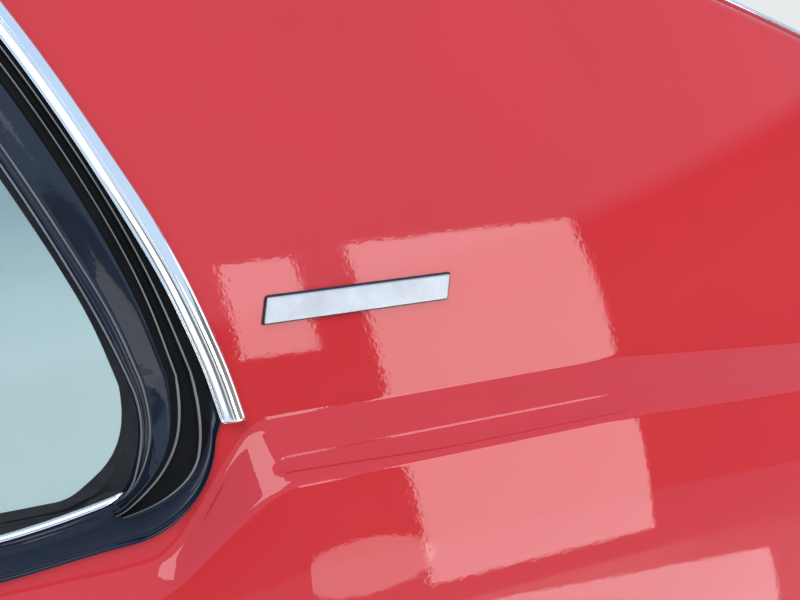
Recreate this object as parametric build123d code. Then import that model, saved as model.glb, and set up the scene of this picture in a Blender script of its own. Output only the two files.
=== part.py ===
from build123d import *
from math import sqrt
import os

# Left rear quarter of a three-door fastback car body: outer panel with its sail, haunch and wheel arch,
# the pillars and inner panels behind it, the fixed side window with its seals and bright strips, and the
# hinged fuel filler lid. Millimetres. X runs towards the tail, Y inboard, Z up. The origin is the middle
# of the sill flange's inboard face, by which the lower front corner is welded to the car.

# Sheets
SKIN = 1.2                  # outer panel sheet
INNER_SHEET = 1.5           # inner panels and pillars
DROP_SHARE = 0.7            # how far an inner face drops, as a share of how far it lies inboard
SEAT = 0.3                  # clearance at which a fitted piece lies on its seat

# Side view places
SHUT_X = -60.0              # door shut line
TAIL_X = 1340.0             # rear edge, where the tail panel begins
AXLE_X = 370.0
AXLE_Z = 110.0
ARCH_R = 335.0
ARCH_LIP = 34.0             # width of the lip turned inboard round the arch
REAR_LOW_Z = 130.0          # lower edge behind the wheel
TAIL_LIP = 20.0             # flange turned inboard at the tail
SHUT_LIP = 16.0             # and at the door shut line
UNDER_LAP = 5.0             # how far the low lip runs into the arch's

# Sill end and its flange, the origin's seat
FLANGE_LENGTH = 88.0
FLANGE_DEPTH = 24.0
SILL_EDGE = (-84.0, 19.0)       # where the sill's underside starts to round upward, as y and z
SILL_ROUND = (-114.0, 33.0)     # middle of that round

# Upper side: a cylinder along X, the same one for panel, window and sail
SIDE_R = 1300.0
SIDE_WIDE_Y = -113.6            # where that cylinder is widest
SIDE_CY = SIDE_WIDE_Y + SIDE_R
SIDE_CZ = 425.5

# Shoulder and haunch. Ahead of the kick the shoulder runs low under the window, behind it high
LOW_CREASE_Z = 668.0        # top of the shoulder under the window
HIGH_CREASE_Z = 734.0       # top of the shoulder behind the window
LOW_CREST = (-102.0, 644.0)     # outer edge of the shoulder under the window, as y and z
HIGH_CREST = (-110.0, 709.0)    # and on the haunch
CREASE_KICK = (438.0, 514.0)    # x where the crease starts and ends its rise
CREST_KICK = (418.0, 522.0)
CREASE_R = 16.0
CREST_R = 10.0
TOP_EDGE_R = 12.0
TAIL_DROP_X = 770.0         # from here the shoulder falls towards the tail
TAIL_CREASE_DROP = 46.0
TAIL_CREST_DROP = 40.0

# Body side below the crest
LOW_WIDE = (-134.0, 440.0)      # widest point under the window
HIGH_WIDE = (-146.0, 480.0)     # widest point of the haunch
SIDE_LOW = (-124.0, 60.0)       # where the sill turns under
TAPER_X = 760.0             # plan taper of the tail starts here
TAPER = 60.0

# Roof and hatch edge line, as x and z, and the land beside it
ROOF_LINE = ((-60.0, 1094.0), (300.0, 1089.0), (480.0, 1082.0), (600.0, 1066.0),
             (760.0, 1025.0), (908.0, 972.0), (1130.0, 888.0), (1340.0, 804.0))
LAND_W = 28.0               # land from the rounded top edge to the hatch gutter
LAND_RISE = 9.0
STATIONS = (-60.0, 418.0, 452.0, 488.0, 522.0, 640.0, 760.0, 900.0, 1040.0, 1190.0, 1340.0)

# Side window: its rear edge is an arc seen from the side, its other edges are straight
REAR_EDGE_X = 525.0             # rearmost point of the bright moulding's outer edge, if the arc ran so far
REAR_ARC_R = 805.0              # radius of that edge; what lies inside is inset from it
REAR_ARC = (REAR_EDGE_X - REAR_ARC_R, 548.0)    # its centre, as x and z
WINDOW_TOP = 1052.0
WINDOW_FRONT = (-52.0, -34.0)   # x of the front edge at its foot and top
FOOT_Z = 677.0                  # lower edge of the black surround
FRONT_R = 14.0
MOULDING_W = 17.2
MOULDING_END_Z = 740.0
MOULDING_H = 8.0
SURROUND_H = 3.0
SURROUND_W = 20.0               # band below the window
SURROUND_IN = 15.3              # its rear edge, inset from the moulding's outer edge
SURROUND_FRONT_IN = 20.0
CORNER_R = 60.0                 # lower rear corner of the surround
UPPER_R = 40.0                  # upper rear corner of the moulding
FRAME_UPPER_R = 32.0            # and of the frame
OPENING_INSET = 26.0            # body opening, inset from the moulding's outer edge
FRAME_IN = 17.5                 # frame's outer edge, inset from the moulding's outer edge
GLASS_T = 4.0
GLASS_DEPTH = 8.0               # glass face below the body surface
GLASS_IN = 46.0
GASKET_IN = 50.0                # outer edge of the gasket on the glass
GASKET_H = 4.0
GASKET_FOOT_H = 6.0             # and of its wider foot behind the bead
DAYLIGHT_IN = 60.0
DAYLIGHT_RISE = 32.0            # foot of the clear glass above the surround's foot
DAYLIGHT_FOOT = FOOT_Z + DAYLIGHT_RISE
DAYLIGHT_CORNER_R = 45.0
DAYLIGHT_UPPER_R = 37.0
FRAME_TIP_X = 424.0             # where the frame ends under the window
BEAD_W = 4.5
BEAD_H = 4.0
BEAD_END_X = 410.0
Y_FAR = 400.0                   # half length of cutting prisms

# Outlines on the window: rear inset, foot, top inset, front inset, lower and upper rear corner radius
MOULDING_OUTER = (0.0, FOOT_Z - 60, 0.0, 0.0, CORNER_R, UPPER_R)
MOULDING_INNER = (MOULDING_W, FOOT_Z - 50, MOULDING_W, -2 * MOULDING_W, CORNER_R - 10, UPPER_R - MOULDING_W)
SURROUND_OUTER = (SURROUND_IN, FOOT_Z, MOULDING_W, SURROUND_FRONT_IN, CORNER_R, UPPER_R - MOULDING_W)
SURROUND_INNER = (FRAME_IN - SEAT, FOOT_Z + SURROUND_W - SEAT, DAYLIGHT_IN, 0.0, CORNER_R + SEAT, FRAME_UPPER_R)

# Steps of the frame: inset of outer edge and of inner edge, low and high proud of the body
FRAME_STEPS = (
    (FRAME_IN, 33.0, SEAT, 3.6),
    (FRAME_IN, 22.5, 3.0, 7.0),
    (28.0, 31.5, 3.0, 6.4),
    (OPENING_INSET + 2, GASKET_IN - SEAT, SEAT - GLASS_DEPTH, 1.0),
)

# Badge blank on the sail: a leaning plate, a gap behind the moulding
BADGE_GAP = 33.5
BADGE_LENGTH = 125.0
BADGE_Z = (792.0, 808.5)
BADGE_LEAN = 4.5
BADGE_H = 3.0

# Fuel filler: a flap in the panel behind the arch, on an upright hinge at its front edge
FLAP = (1044.0, 1184.0, 452.0, 582.0)   # opening in the panel: x and z, low and high
FLAP_R = 22.0
FLAP_GAP = 4.0
FLAP_LEAF = 16.0                # how far the moving knuckle's leaf reaches under the flap
POCKET_WALL = 1.5
POCKET_FLOOR_Y = -58.0          # outboard face of the pocket's floor
POCKET_MARGIN = 6.0             # how far the pocket's walls stand back from the opening's edge
HINGE_GAP = 12.0                # slot for the hinge knuckles at the flap's front edge
KNUCKLE_R = 3.6
KNUCKLE_L = 16.0
PIN_R = 1.6
PIN_FIT = 0.15
HINGE_AT = 0.62                 # axis below the outer surface, as a share of the knuckle's radius
NECK_R = 30.0
NECK_BORE_R = 24.0
NECK_RIM_Y = -80.0              # open end, under the cap
NECK_STEP_Y = -20.0             # from here inboard the neck is a hose spigot
NECK_END_Y = 62.0
SPIGOT_R = 27.5
CAP_R = 38.0
CAP_H = 20.0
GRIP = (57.0, 12.0, 6.0)        # bar across the cap: length, width, height

# Door striker's screw holes in the pillar, and the seat belt's anchor
STRIKER = (-92.0, 470.0)        # middle of the two holes, as y and z
STRIKER_PITCH = 40.0
STRIKER_HOLE_R = 4.2
BELT_ANCHOR = (-30.0, 560.0)    # x and z
ANCHOR_HOLE_R = 5.5
ANCHOR_PILOT_R = 7.5            # hole in the sheets behind it
ANCHOR_PLATE_HALF = 19.0        # half its width
ANCHOR_PLATE_T = 3.0
ANCHOR_NUT_R = 10.0             # to its corners
ANCHOR_NUT_H = 9.0

# Inner structure: flat lower panel and pillar, upper sheets parallel to the side's cylinder
INNER_Y = -54.0                 # outboard face of the lower inner panel
RAIL_DEPTH = 24.0               # depth of the sail's inner panel below the outer surface
LAP = 18.0                      # width of welded laps
PILLAR_Z = (66.0, 638.0)
INNER_LOW_Z = 330.0
INNER_TOP = ((520.0, 655.0), (430.0, 620.0))    # top edge over the wheel, as x and z
INNER_TAIL_Z = 560.0            # and its height at the tail
RAIL_Z = (606.0, 655.0)
RAIL_END_X = 1000.0
SAIL_EDGE = ((522.0, 640.0), (1000.0, 640.0), (1000.0, 900.0), (620.0, 1016.0), (470.0, 1040.0),
             (452.0, 1010.0), (522.0, 800.0))
ROOF_RAIL_LOW = ((-60.0, 1036.0), (480.0, 1022.0), (620.0, 990.0))
ROOF_RAIL_HIGH = ((620.0, 1040.0), (480.0, 1070.0), (-60.0, 1082.0))

# Lightening holes, as x, z and radius
INNER_HOLES = ((60.0, 545.0, 34.0), (790.0, 500.0, 48.0), (920.0, 460.0, 52.0), (1260.0, 450.0, 40.0))
SAIL_HOLES = ((600.0, 880.0, 52.0), (730.0, 840.0, 46.0), (850.0, 800.0, 40.0))

WHEELHOUSE_Y = (-104.0, 60.0)
WHEELHOUSE_FLANGE = 18.0
WHEELHOUSE_FOOT_Z = 20.0

# Rain gutter beside the hatch, its lap under the land, and the seal on its flange
GUTTER_FRONT_X = 522.0
GUTTER_W = 22.0
GUTTER_H = 16.0
GUTTER_FIT = 1.8                # gutter's wall off the land's edge
SEAL_FRONT_X = 530.0
SEAL_W = 9.0
SEAL_H = 13.0
SEAL_TOP_W = 3.0
SEAL_TOP_H = 3.3


def ease(t):
    """0 before 0, 1 after 1, and a smooth rise between."""
    t = min(1.0, max(0.0, t))
    return t * t * (3.0 - 2.0 * t)


def between(a, b, share):
    return a + (b - a) * share


def along(rows, x):
    """Height at x on a line given as (x, z) rows."""
    for (x0, z0), (x1, z1) in zip(rows, rows[1:]):
        if x <= x1:
            return between(z0, z1, (x - x0) / (x1 - x0))
    return rows[-1][1]


def side_y(z, proud=0.0):
    """Y of the upper side at height z, or of a surface that stands proud of it."""
    return SIDE_CY - sqrt((SIDE_R + proud) ** 2 - (z - SIDE_CZ) ** 2)


def key_points(x):
    """The corners of the body section at x, from the foot of the side up to the hatch edge, as (y, z)."""
    kick = ease((x - CREST_KICK[0]) / (CREST_KICK[1] - CREST_KICK[0]))
    crease_kick = ease((x - CREASE_KICK[0]) / (CREASE_KICK[1] - CREASE_KICK[0]))
    inward = TAPER * max(0.0, (x - TAPER_X) / (TAIL_X - TAPER_X)) ** 2
    fall = max(0.0, (x - TAIL_DROP_X) / (TAIL_X - TAIL_DROP_X))
    crest = (between(LOW_CREST[0], HIGH_CREST[0], kick) + inward,
             between(LOW_CREST[1], HIGH_CREST[1], kick) - TAIL_CREST_DROP * fall)
    crease_z = between(LOW_CREASE_Z, HIGH_CREASE_Z, crease_kick) - TAIL_CREASE_DROP * fall
    top_z = along(ROOF_LINE, x)
    return {
        "inward": inward,
        "side_low": (SIDE_LOW[0] + inward, SIDE_LOW[1]),
        "wide": (between(LOW_WIDE[0], HIGH_WIDE[0], kick) + inward, between(LOW_WIDE[1], HIGH_WIDE[1], kick)),
        "crest": crest,
        "crease": (side_y(crease_z) + inward, crease_z),
        "sail_top": (side_y(top_z) + inward, top_z),
        "land_end": (side_y(top_z) + inward + TOP_EDGE_R + LAND_W, top_z + LAND_RISE),
    }


def circle_through(wide, end):
    """Centre and radius of the circle that is upright at wide and passes through end."""
    rise, run = end[1] - wide[1], end[0] - wide[0]
    radius = (rise**2 + run**2) / (2 * run)
    return (wide[0] + radius, wide[1]), radius


def on_circle(centre, radius, z):
    """The outboard point of a circle at height z."""
    return (centre[0] - sqrt(radius**2 - (z - centre[1]) ** 2), z)


def round_corner(start, stop, corner, centre, radius, r, convex):
    """Round the corner between the line from start to stop and a circle, by an arc of radius r.

    Returns the arc's point on the line, its middle and its point on the circle. The arc's centre lies r
    from the line, to the right of its way, and r inside the circle; at a concave corner, left and outside.
    """
    sign = 1.0 if convex else -1.0
    length = sqrt((stop[0] - start[0]) ** 2 + (stop[1] - start[1]) ** 2)
    dy, dz = (stop[0] - start[0]) / length, (stop[1] - start[1]) / length
    ny, nz = dz * sign, -dy * sign
    oy, oz = start[0] + ny * r - centre[0], start[1] + nz * r - centre[1]
    half = oy * dy + oz * dz
    root = sqrt(half**2 - (oy**2 + oz**2 - (radius - sign * r) ** 2))
    target = (corner[0] - start[0]) * dy + (corner[1] - start[1]) * dz
    s = min((-half + root, -half - root), key=lambda value: abs(value - target))
    fy, fz = centre[0] + oy + s * dy, centre[1] + oz + s * dz
    on_line = (fy - ny * r, fz - nz * r)
    share = radius / (radius - sign * r)
    on_round = (centre[0] + (fy - centre[0]) * share, centre[1] + (fz - centre[1]) * share)
    my, mz = (on_line[0] + on_round[0]) / 2 - fy, (on_line[1] + on_round[1]) / 2 - fz
    reach = sqrt(my**2 + mz**2)
    return on_line, (fy + my * r / reach, fz + mz * r / reach), on_round


def round_lines(before, corner, after, r):
    """The arc of radius r that rounds the corner between two lines: its start, middle and end."""
    ax, az = before[0] - corner[0], before[1] - corner[1]
    bx, bz = after[0] - corner[0], after[1] - corner[1]
    al, bl = sqrt(ax**2 + az**2), sqrt(bx**2 + bz**2)
    ax, az, bx, bz = ax / al, az / al, bx / bl, bz / bl
    half_cos = sqrt((1 + ax * bx + az * bz) / 2)
    half_sin = sqrt(1 - half_cos**2)
    leg = r * half_cos / half_sin
    mx, mz = (ax + bx) / (2 * half_cos), (az + bz) / (2 * half_cos)
    reach = r / half_sin - r
    return ((corner[0] + ax * leg, corner[1] + az * leg), (corner[0] + mx * reach, corner[1] + mz * reach),
            (corner[0] + bx * leg, corner[1] + bz * leg))


def wire_of(path, place):
    """A closed wire of lines and arcs; place turns each two numbers into a point in space."""
    return Wire([(Line if len(points) == 2 else ThreePointArc)(*[place(*p) for p in points])
                 for points in path])


def side_path(x):
    """The outer line of the body side at x, from its foot up to the land, as lines and arcs."""
    k = key_points(x)
    low, upper = circle_through(k["wide"], k["side_low"]), circle_through(k["wide"], k["crest"])
    sail = ((SIDE_CY + k["inward"], SIDE_CZ), SIDE_R)
    crest = round_corner(k["crest"], k["crease"], k["crest"], *upper, CREST_R, True)
    crease = round_corner(k["crest"], k["crease"], k["crease"], *sail, CREASE_R, False)
    top = round_corner(k["sail_top"], k["land_end"], k["sail_top"], *sail, TOP_EDGE_R, True)
    low_mid = on_circle(*low, (k["side_low"][1] + k["wide"][1]) / 2)
    upper_mid = on_circle(*upper, (k["wide"][1] + crest[2][1]) / 2)
    sail_mid = on_circle(*sail, (crease[2][1] + top[2][1]) / 2)
    return [
        (k["side_low"], low_mid, k["wide"]), (k["wide"], upper_mid, crest[2]), crest[::-1],
        (crest[0], crease[0]), crease, (crease[2], sail_mid, top[2]), top[::-1], (top[0], k["land_end"]),
    ]


def shell_section(x, depth, thickness):
    """Closed strip between the side's line moved inboard by depth and the same moved thickness more.

    Going inboard the line also drops, by a share, so that the strip keeps a wall where the side faces up.
    """
    outer, inner = [
        [[(y + shift, z - shift * DROP_SHARE) for y, z in points] for points in side_path(x)]
        for shift in (depth, depth + thickness)
    ]
    path = outer + [(outer[-1][-1], inner[-1][-1])] + [points[::-1] for points in inner[::-1]]
    path.append((inner[0][0], outer[0][0]))
    return wire_of(path, lambda y, z: (x, y, z))


def shell(depth, thickness, front=SHUT_X, back=TAIL_X):
    """A sheet that follows the body side at a depth below its outer surface, from front to back."""
    stations = [front] + [x for x in STATIONS if front < x < back] + [back]
    return Solid.make_loft([shell_section(x, depth, thickness) for x in stations], ruled=True)


def prism(path):
    """An outline in the side view, cut right through the side of the body."""
    face = Face(wire_of(path, lambda x, z: (x, -Y_FAR, z)))
    return extrude(face, amount=2 * Y_FAR, dir=(0, 1, 0))


def polygon(points):
    return prism(list(zip(points, points[1:] + points[:1])))


def block(x0, x1, y0, y1, z0, z1):
    return Pos((x0 + x1) / 2, (y0 + y1) / 2, (z0 + z1) / 2) * Box(x1 - x0, y1 - y0, z1 - z0)


def slab(x0, x1, z0, z1):
    return block(x0, x1, -Y_FAR, Y_FAR, z0, z1)


def drum(x, z, r, y0=-Y_FAR, y1=Y_FAR):
    return Pos(x, (y0 + y1) / 2, z) * Rot(90, 0, 0) * Cylinder(r, y1 - y0)


def rounded(x0, x1, z0, z1, r):
    """A rounded rectangle in the side view, cut right through."""
    corners = [(x0, z0), (x1, z0), (x1, z1), (x0, z1)]
    arcs = [round_lines(corners[i - 1], corners[i], corners[(i + 1) % 4], r) for i in range(4)]
    path = []
    for arc, following in zip(arcs, arcs[1:] + arcs[:1]):
        path += [arc, (arc[2], following[0])]
    return prism(path)


def window_path(rear, foot, top_in, front_in, corner_r, upper_r):
    """Outline of a window piece: insets from the moulding's outer edge, and the height of its foot."""
    radius = REAR_ARC_R - rear
    top = WINDOW_TOP - top_in
    front_low, front_top = (WINDOW_FRONT[0] + front_in, foot), (WINDOW_FRONT[1] + front_in, top)
    foot_end = (REAR_ARC[0] + sqrt(radius**2 - (foot - REAR_ARC[1]) ** 2), foot)
    top_end = (REAR_ARC[0] + sqrt(radius**2 - (top - REAR_ARC[1]) ** 2), top)
    low = round_corner(foot_end, front_low, foot_end, REAR_ARC, radius, corner_r, True)
    up = round_corner(front_top, top_end, top_end, REAR_ARC, radius, upper_r, True)
    mid_z = (low[2][1] + up[2][1]) / 2
    rear_mid = (REAR_ARC[0] + sqrt(radius**2 - (mid_z - REAR_ARC[1]) ** 2), mid_z)
    front_up = round_lines(top_end, front_top, front_low, FRONT_R)
    front_down = round_lines(front_top, front_low, foot_end, FRONT_R)
    return [
        (front_down[2], low[0]), low, (low[2], rear_mid, up[2]), up[::-1], (up[0], front_up[0]),
        front_up, (front_up[2], front_down[0]), front_down,
    ]


def window_ring(inset):
    """Outline at an inset, whose foot and corners follow from the surround's and the daylight's."""
    share = (inset - FRAME_IN) / (DAYLIGHT_IN - FRAME_IN)
    foot = between(FOOT_Z + SURROUND_W, DAYLIGHT_FOOT, share)
    low_r = between(CORNER_R, DAYLIGHT_CORNER_R, share)
    high_r = between(FRAME_UPPER_R, DAYLIGHT_UPPER_R, share)
    return prism(window_path(inset, foot, inset, inset, low_r, high_r))


def side_wall(low, high, z0=FOOT_Z - 30, z1=WINDOW_TOP + 30, back=REAR_EDGE_X + 10):
    """A curved wall parallel to the upper side, from low to high proud of its surface."""
    zm = (z0 + z1) / 2
    path = [
        ((side_y(z0, high), z0), (side_y(zm, high), zm), (side_y(z1, high), z1)),
        ((side_y(z1, high), z1), (side_y(z1, low), z1)),
        ((side_y(z1, low), z1), (side_y(zm, low), zm), (side_y(z0, low), z0)),
        ((side_y(z0, low), z0), (side_y(z0, high), z0)),
    ]
    face = Face(wire_of(path, lambda y, z: (SHUT_X, y, z)))
    return extrude(face, amount=back - SHUT_X, dir=(1, 0, 0))


def inner_sheet(depth, edge):
    """A sheet parallel to the upper side at a depth below it, with its edge given in the side view."""
    xs, zs = [x for x, _ in edge], [z for _, z in edge]
    wall = side_wall(-depth - INNER_SHEET, -depth, min(zs) - 1, max(zs) + 1, max(xs) + 1)
    return wall & polygon(list(edge))


def surface_y(x, z):
    """Y of the outer surface below the crest, at x and z."""
    k = key_points(x)
    end = k["crest"] if z > k["wide"][1] else k["side_low"]
    return on_circle(*circle_through(k["wide"], end), z)[0]


PILLAR_X = SHUT_X + SKIN + SEAT                 # front face of the pillar
RAIL_X = PILLAR_X + INNER_SHEET + SEAT          # front end of what lies behind it
PILLAR_Y = INNER_Y + INNER_SHEET + SEAT         # outboard face of the pillar's flange
ANCHOR_Y = PILLAR_Y + INNER_SHEET + SEAT        # outboard face of the belt anchor's plate
HOUSE_R = ARCH_R + SKIN + SEAT                  # inside of the wheelhouse
HINGE_X = FLAP[0] - HINGE_GAP / 2
HINGE_Z = (FLAP[2] + FLAP[3]) / 2
HINGE_Y = surface_y(HINGE_X, HINGE_Z) + KNUCKLE_R * HINGE_AT
NECK_X = (FLAP[0] + FLAP[1]) / 2


def arch_ring(inner_r, outer_r, y0, y1):
    return drum(AXLE_X, AXLE_Z, outer_r, y0, y1) - drum(AXLE_X, AXLE_Z, inner_r, y0 - 1, y1 + 1)


def side_region():
    """What the outer panel keeps, seen from the side: all but the arch and the strip below the tail."""
    foot, top = SIDE_LOW[1], ROOF_LINE[0][1] + 100
    edge = [(SHUT_X, foot), (AXLE_X, foot), (AXLE_X, REAR_LOW_Z), (TAIL_X, REAR_LOW_Z)]
    region = polygon(edge + [(TAIL_X, top), (SHUT_X, top)])
    return region - drum(AXLE_X, AXLE_Z, ARCH_R)


def hinge_slot():
    half = 1.5 * KNUCKLE_L + 2 * SEAT + FLAP_GAP
    return slab(FLAP[0] - HINGE_GAP, FLAP[0] + 1, HINGE_Z - half, HINGE_Z + half)


def flap_outline(grow):
    return rounded(FLAP[0] - grow, FLAP[1] + grow, FLAP[2] - grow, FLAP[3] + grow, FLAP_R + grow)


def quarter_panel():
    """Outer panel: one sheet from the arch and haunch up to the roof, with its openings and lips."""
    far = 3 * ARCH_R
    sheet = shell(0, SKIN) & side_region()
    sheet = sheet - window_ring(OPENING_INSET) - flap_outline(FLAP_GAP) - hinge_slot()
    arch = shell(0, ARCH_LIP, SHUT_X, TAPER_X) & arch_ring(ARCH_R, ARCH_R + SKIN, -Y_FAR, Y_FAR)
    arch -= slab(AXLE_X - far, AXLE_X, -Y_FAR, SIDE_LOW[1])
    arch -= slab(AXLE_X, AXLE_X + far, -Y_FAR, REAR_LOW_Z)
    top = ROOF_LINE[0][1] + 100
    tail = shell(0, TAIL_LIP, STATIONS[-2], TAIL_X) & slab(TAIL_X - SKIN, TAIL_X, REAR_LOW_Z, top)
    shut = shell(0, SHUT_LIP, SHUT_X, STATIONS[1]) & slab(SHUT_X, SHUT_X + SKIN, SIDE_LOW[1], top)
    strip = slab(AXLE_X + ARCH_R - UNDER_LAP, TAIL_X, REAR_LOW_Z, REAR_LOW_Z + SKIN)
    under = shell(0, TAIL_LIP, AXLE_X, TAIL_X) & strip
    return sheet + arch + tail + shut + under


def sill_end():
    """The sill's closed end ahead of the wheel, with the upright flange that carries the whole side."""
    y_low, z_low = SIDE_LOW
    half, top, lap = FLANGE_LENGTH / 2, FLANGE_DEPTH / 2, z_low - SEAT
    edge_in = (SILL_EDGE[0], SILL_EDGE[1] + SKIN)
    round_in = (SILL_ROUND[0] + SKIN * 0.7, SILL_ROUND[1] + SKIN * 0.7)
    path = [
        ((-SKIN, top), SILL_EDGE), (SILL_EDGE, SILL_ROUND, (y_low, lap)), ((y_low, lap), (y_low + SKIN, lap)),
        ((y_low + SKIN, lap), round_in, edge_in), (edge_in, (0, top + SKIN)),
        ((0, top + SKIN), (0, top)), ((0, top), (-SKIN, top)),
    ]
    face = Face(wire_of(path, lambda y, z: (SHUT_X, y, z)))
    bow = extrude(face, amount=AXLE_X - SHUT_X, dir=(1, 0, 0))
    flange = block(-half, half, -SKIN, 0, -top, top)
    return (bow + flange) - drum(AXLE_X, AXLE_Z, HOUSE_R + INNER_SHEET + SEAT)


def wheelhouse():
    """Outer half of the wheelhouse: a tube round the wheel with a flange for its inner half."""
    y0, y1 = WHEELHOUSE_Y
    far = 3 * ARCH_R
    tube = arch_ring(HOUSE_R, HOUSE_R + INNER_SHEET, y0, y1)
    flange = arch_ring(HOUSE_R, HOUSE_R + WHEELHOUSE_FLANGE, y1 - INNER_SHEET, y1)
    house = (tube + flange) & slab(AXLE_X - far, AXLE_X + far, WHEELHOUSE_FOOT_Z, far)
    return house - slab(AXLE_X, AXLE_X + far, 0, REAR_LOW_Z)


def anchor_drum(r, y0=-Y_FAR, y1=Y_FAR):
    return drum(BELT_ANCHOR[0], BELT_ANCHOR[1], r, y0, y1)


def lock_pillar():
    """Lower door pillar: a web across the shut line and a flat flange on the inner panel."""
    web = block(PILLAR_X, PILLAR_X + INNER_SHEET, -Y_FAR, PILLAR_Y + INNER_SHEET, *PILLAR_Z)
    web &= shell(SKIN + SEAT, Y_FAR / 2, SHUT_X, STATIONS[1])
    flange = block(PILLAR_X, PILLAR_X + 3 * LAP, PILLAR_Y, PILLAR_Y + INNER_SHEET, *PILLAR_Z)
    pillar = web + flange - anchor_drum(ANCHOR_PILOT_R)
    for dz in (-STRIKER_PITCH / 2, STRIKER_PITCH / 2):
        hole = Rot(0, 90, 0) * Cylinder(STRIKER_HOLE_R, 4 * INNER_SHEET)
        pillar -= Pos(PILLAR_X, STRIKER[0], STRIKER[1] + dz) * hole
    return pillar


def belt_anchor():
    """Plate with a weld nut for the seat belt, on the pillar's inner flange."""
    x, z = BELT_ANCHOR
    half = ANCHOR_PLATE_HALF
    plate = block(x - half, x + half, ANCHOR_Y, ANCHOR_Y + ANCHOR_PLATE_T, z - half, z + half)
    nut = Rot(90, 0, 0) * extrude(RegularPolygon(ANCHOR_NUT_R, 6), amount=ANCHOR_NUT_H + 1)
    nut = Pos(x, ANCHOR_Y + ANCHOR_PLATE_T + ANCHOR_NUT_H, z) * nut
    return plate + nut - anchor_drum(ANCHOR_HOLE_R)


def inner_quarter_panel():
    """Flat lower inner panel, from the pillar to the tail and over the wheelhouse, with lightening holes."""
    back = TAIL_X - SKIN - SEAT
    edge = [(RAIL_X, INNER_LOW_Z), (back, INNER_LOW_Z), (back, INNER_TAIL_Z)]
    edge += [*INNER_TOP, (RAIL_X, INNER_TOP[-1][1])]
    panel = polygon(edge) & block(RAIL_X, back, INNER_Y, INNER_Y + INNER_SHEET, 0, WINDOW_TOP)
    panel -= drum(AXLE_X, AXLE_Z, HOUSE_R + INNER_SHEET + SEAT)
    for x, z, r in INNER_HOLES:
        panel -= drum(x, z, r)
    return panel - drum(NECK_X, HINGE_Z, NECK_R + POCKET_MARGIN) - anchor_drum(ANCHOR_PILOT_R)


def belt_rail():
    """Edge rail under the window: a sheet parallel to the side, with a ledge back to the inner panel."""
    z0, z1 = RAIL_Z
    depth = RAIL_DEPTH + INNER_SHEET + SEAT
    sheet = inner_sheet(depth, [(RAIL_X, z0), (RAIL_END_X, z0), (RAIL_END_X, z1), (RAIL_X, z1)])
    front = side_y(z0, -depth - INNER_SHEET / 2)
    return sheet + block(RAIL_X, RAIL_END_X, front, INNER_Y - SEAT, z0, z0 + INNER_SHEET)


def sail_inner():
    """Inner panel of the sail behind the window, with lightening holes."""
    panel = inner_sheet(RAIL_DEPTH, SAIL_EDGE)
    for x, z, r in SAIL_HOLES:
        panel -= drum(x, z, r)
    return panel


def roof_side_rail():
    """Rail above the window, lapped on the sail's inner panel."""
    sheet = inner_sheet(RAIL_DEPTH - INNER_SHEET - SEAT, ROOF_RAIL_LOW + ROOF_RAIL_HIGH)
    return sheet - slab(SHUT_X - 1, PILLAR_X, 0, WINDOW_TOP + 100)


def window_face(low, high, outer, inner):
    """A ring or plate on the window: a wall from low to high proud, between two outlines."""
    ring = side_wall(low, high) & outer
    return ring - inner if inner else ring


def quarter_glass():
    return window_face(-GLASS_DEPTH - GLASS_T, -GLASS_DEPTH, window_ring(GLASS_IN), None)


def glass_gasket():
    """Rubber ring on the glass, with a wider foot that closes the window down to the bright bead."""
    low = -GLASS_DEPTH + SEAT
    ring = window_face(low, low + GASKET_H, window_ring(GASKET_IN), window_ring(DAYLIGHT_IN))
    bead_top = FOOT_Z + SURROUND_W + BEAD_W
    foot = slab(WINDOW_FRONT[0] + OPENING_INSET + 1, FRAME_TIP_X - SEAT, bead_top + SEAT, DAYLIGHT_FOOT - 1)
    return ring + window_face(low, low + GASKET_FOOT_H, foot, None)


def window_frame():
    """Frame behind the moulding: two ridges with a channel between, then steps down to the glass."""
    frame, *steps = [window_face(low, high, window_ring(outer), window_ring(inner))
                     for outer, inner, low, high in FRAME_STEPS]
    for step in steps:
        frame += step
    return frame - slab(SHUT_X, FRAME_TIP_X, FOOT_Z - SURROUND_W, DAYLIGHT_FOOT)


def window_surround():
    """Black band under the window, that thins out round the corner up to the moulding's end."""
    outer, inner = prism(window_path(*SURROUND_OUTER)), prism(window_path(*SURROUND_INNER))
    band = window_face(SEAT, SURROUND_H, outer, inner)
    return band & slab(WINDOW_FRONT[0] + SURROUND_FRONT_IN, REAR_EDGE_X, FOOT_Z - 1, MOULDING_END_Z - 1)


def lower_bead():
    z0 = FOOT_Z + SURROUND_W
    bar = slab(WINDOW_FRONT[0] + SURROUND_FRONT_IN, BEAD_END_X, z0, z0 + BEAD_W)
    return window_face(SEAT, BEAD_H, bar, None)


def drip_moulding():
    """Bright strip up the window's rear edge and forward over its top."""
    outer, inner = prism(window_path(*MOULDING_OUTER)), prism(window_path(*MOULDING_INNER))
    strip = window_face(SEAT, MOULDING_H, outer, inner)
    strip -= slab(SHUT_X, REAR_EDGE_X + 50, FOOT_Z - 100, MOULDING_END_Z)
    return strip - slab(SHUT_X - 10, WINDOW_FRONT[1] + 4, FOOT_Z - 100, WINDOW_TOP + 100)


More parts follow.
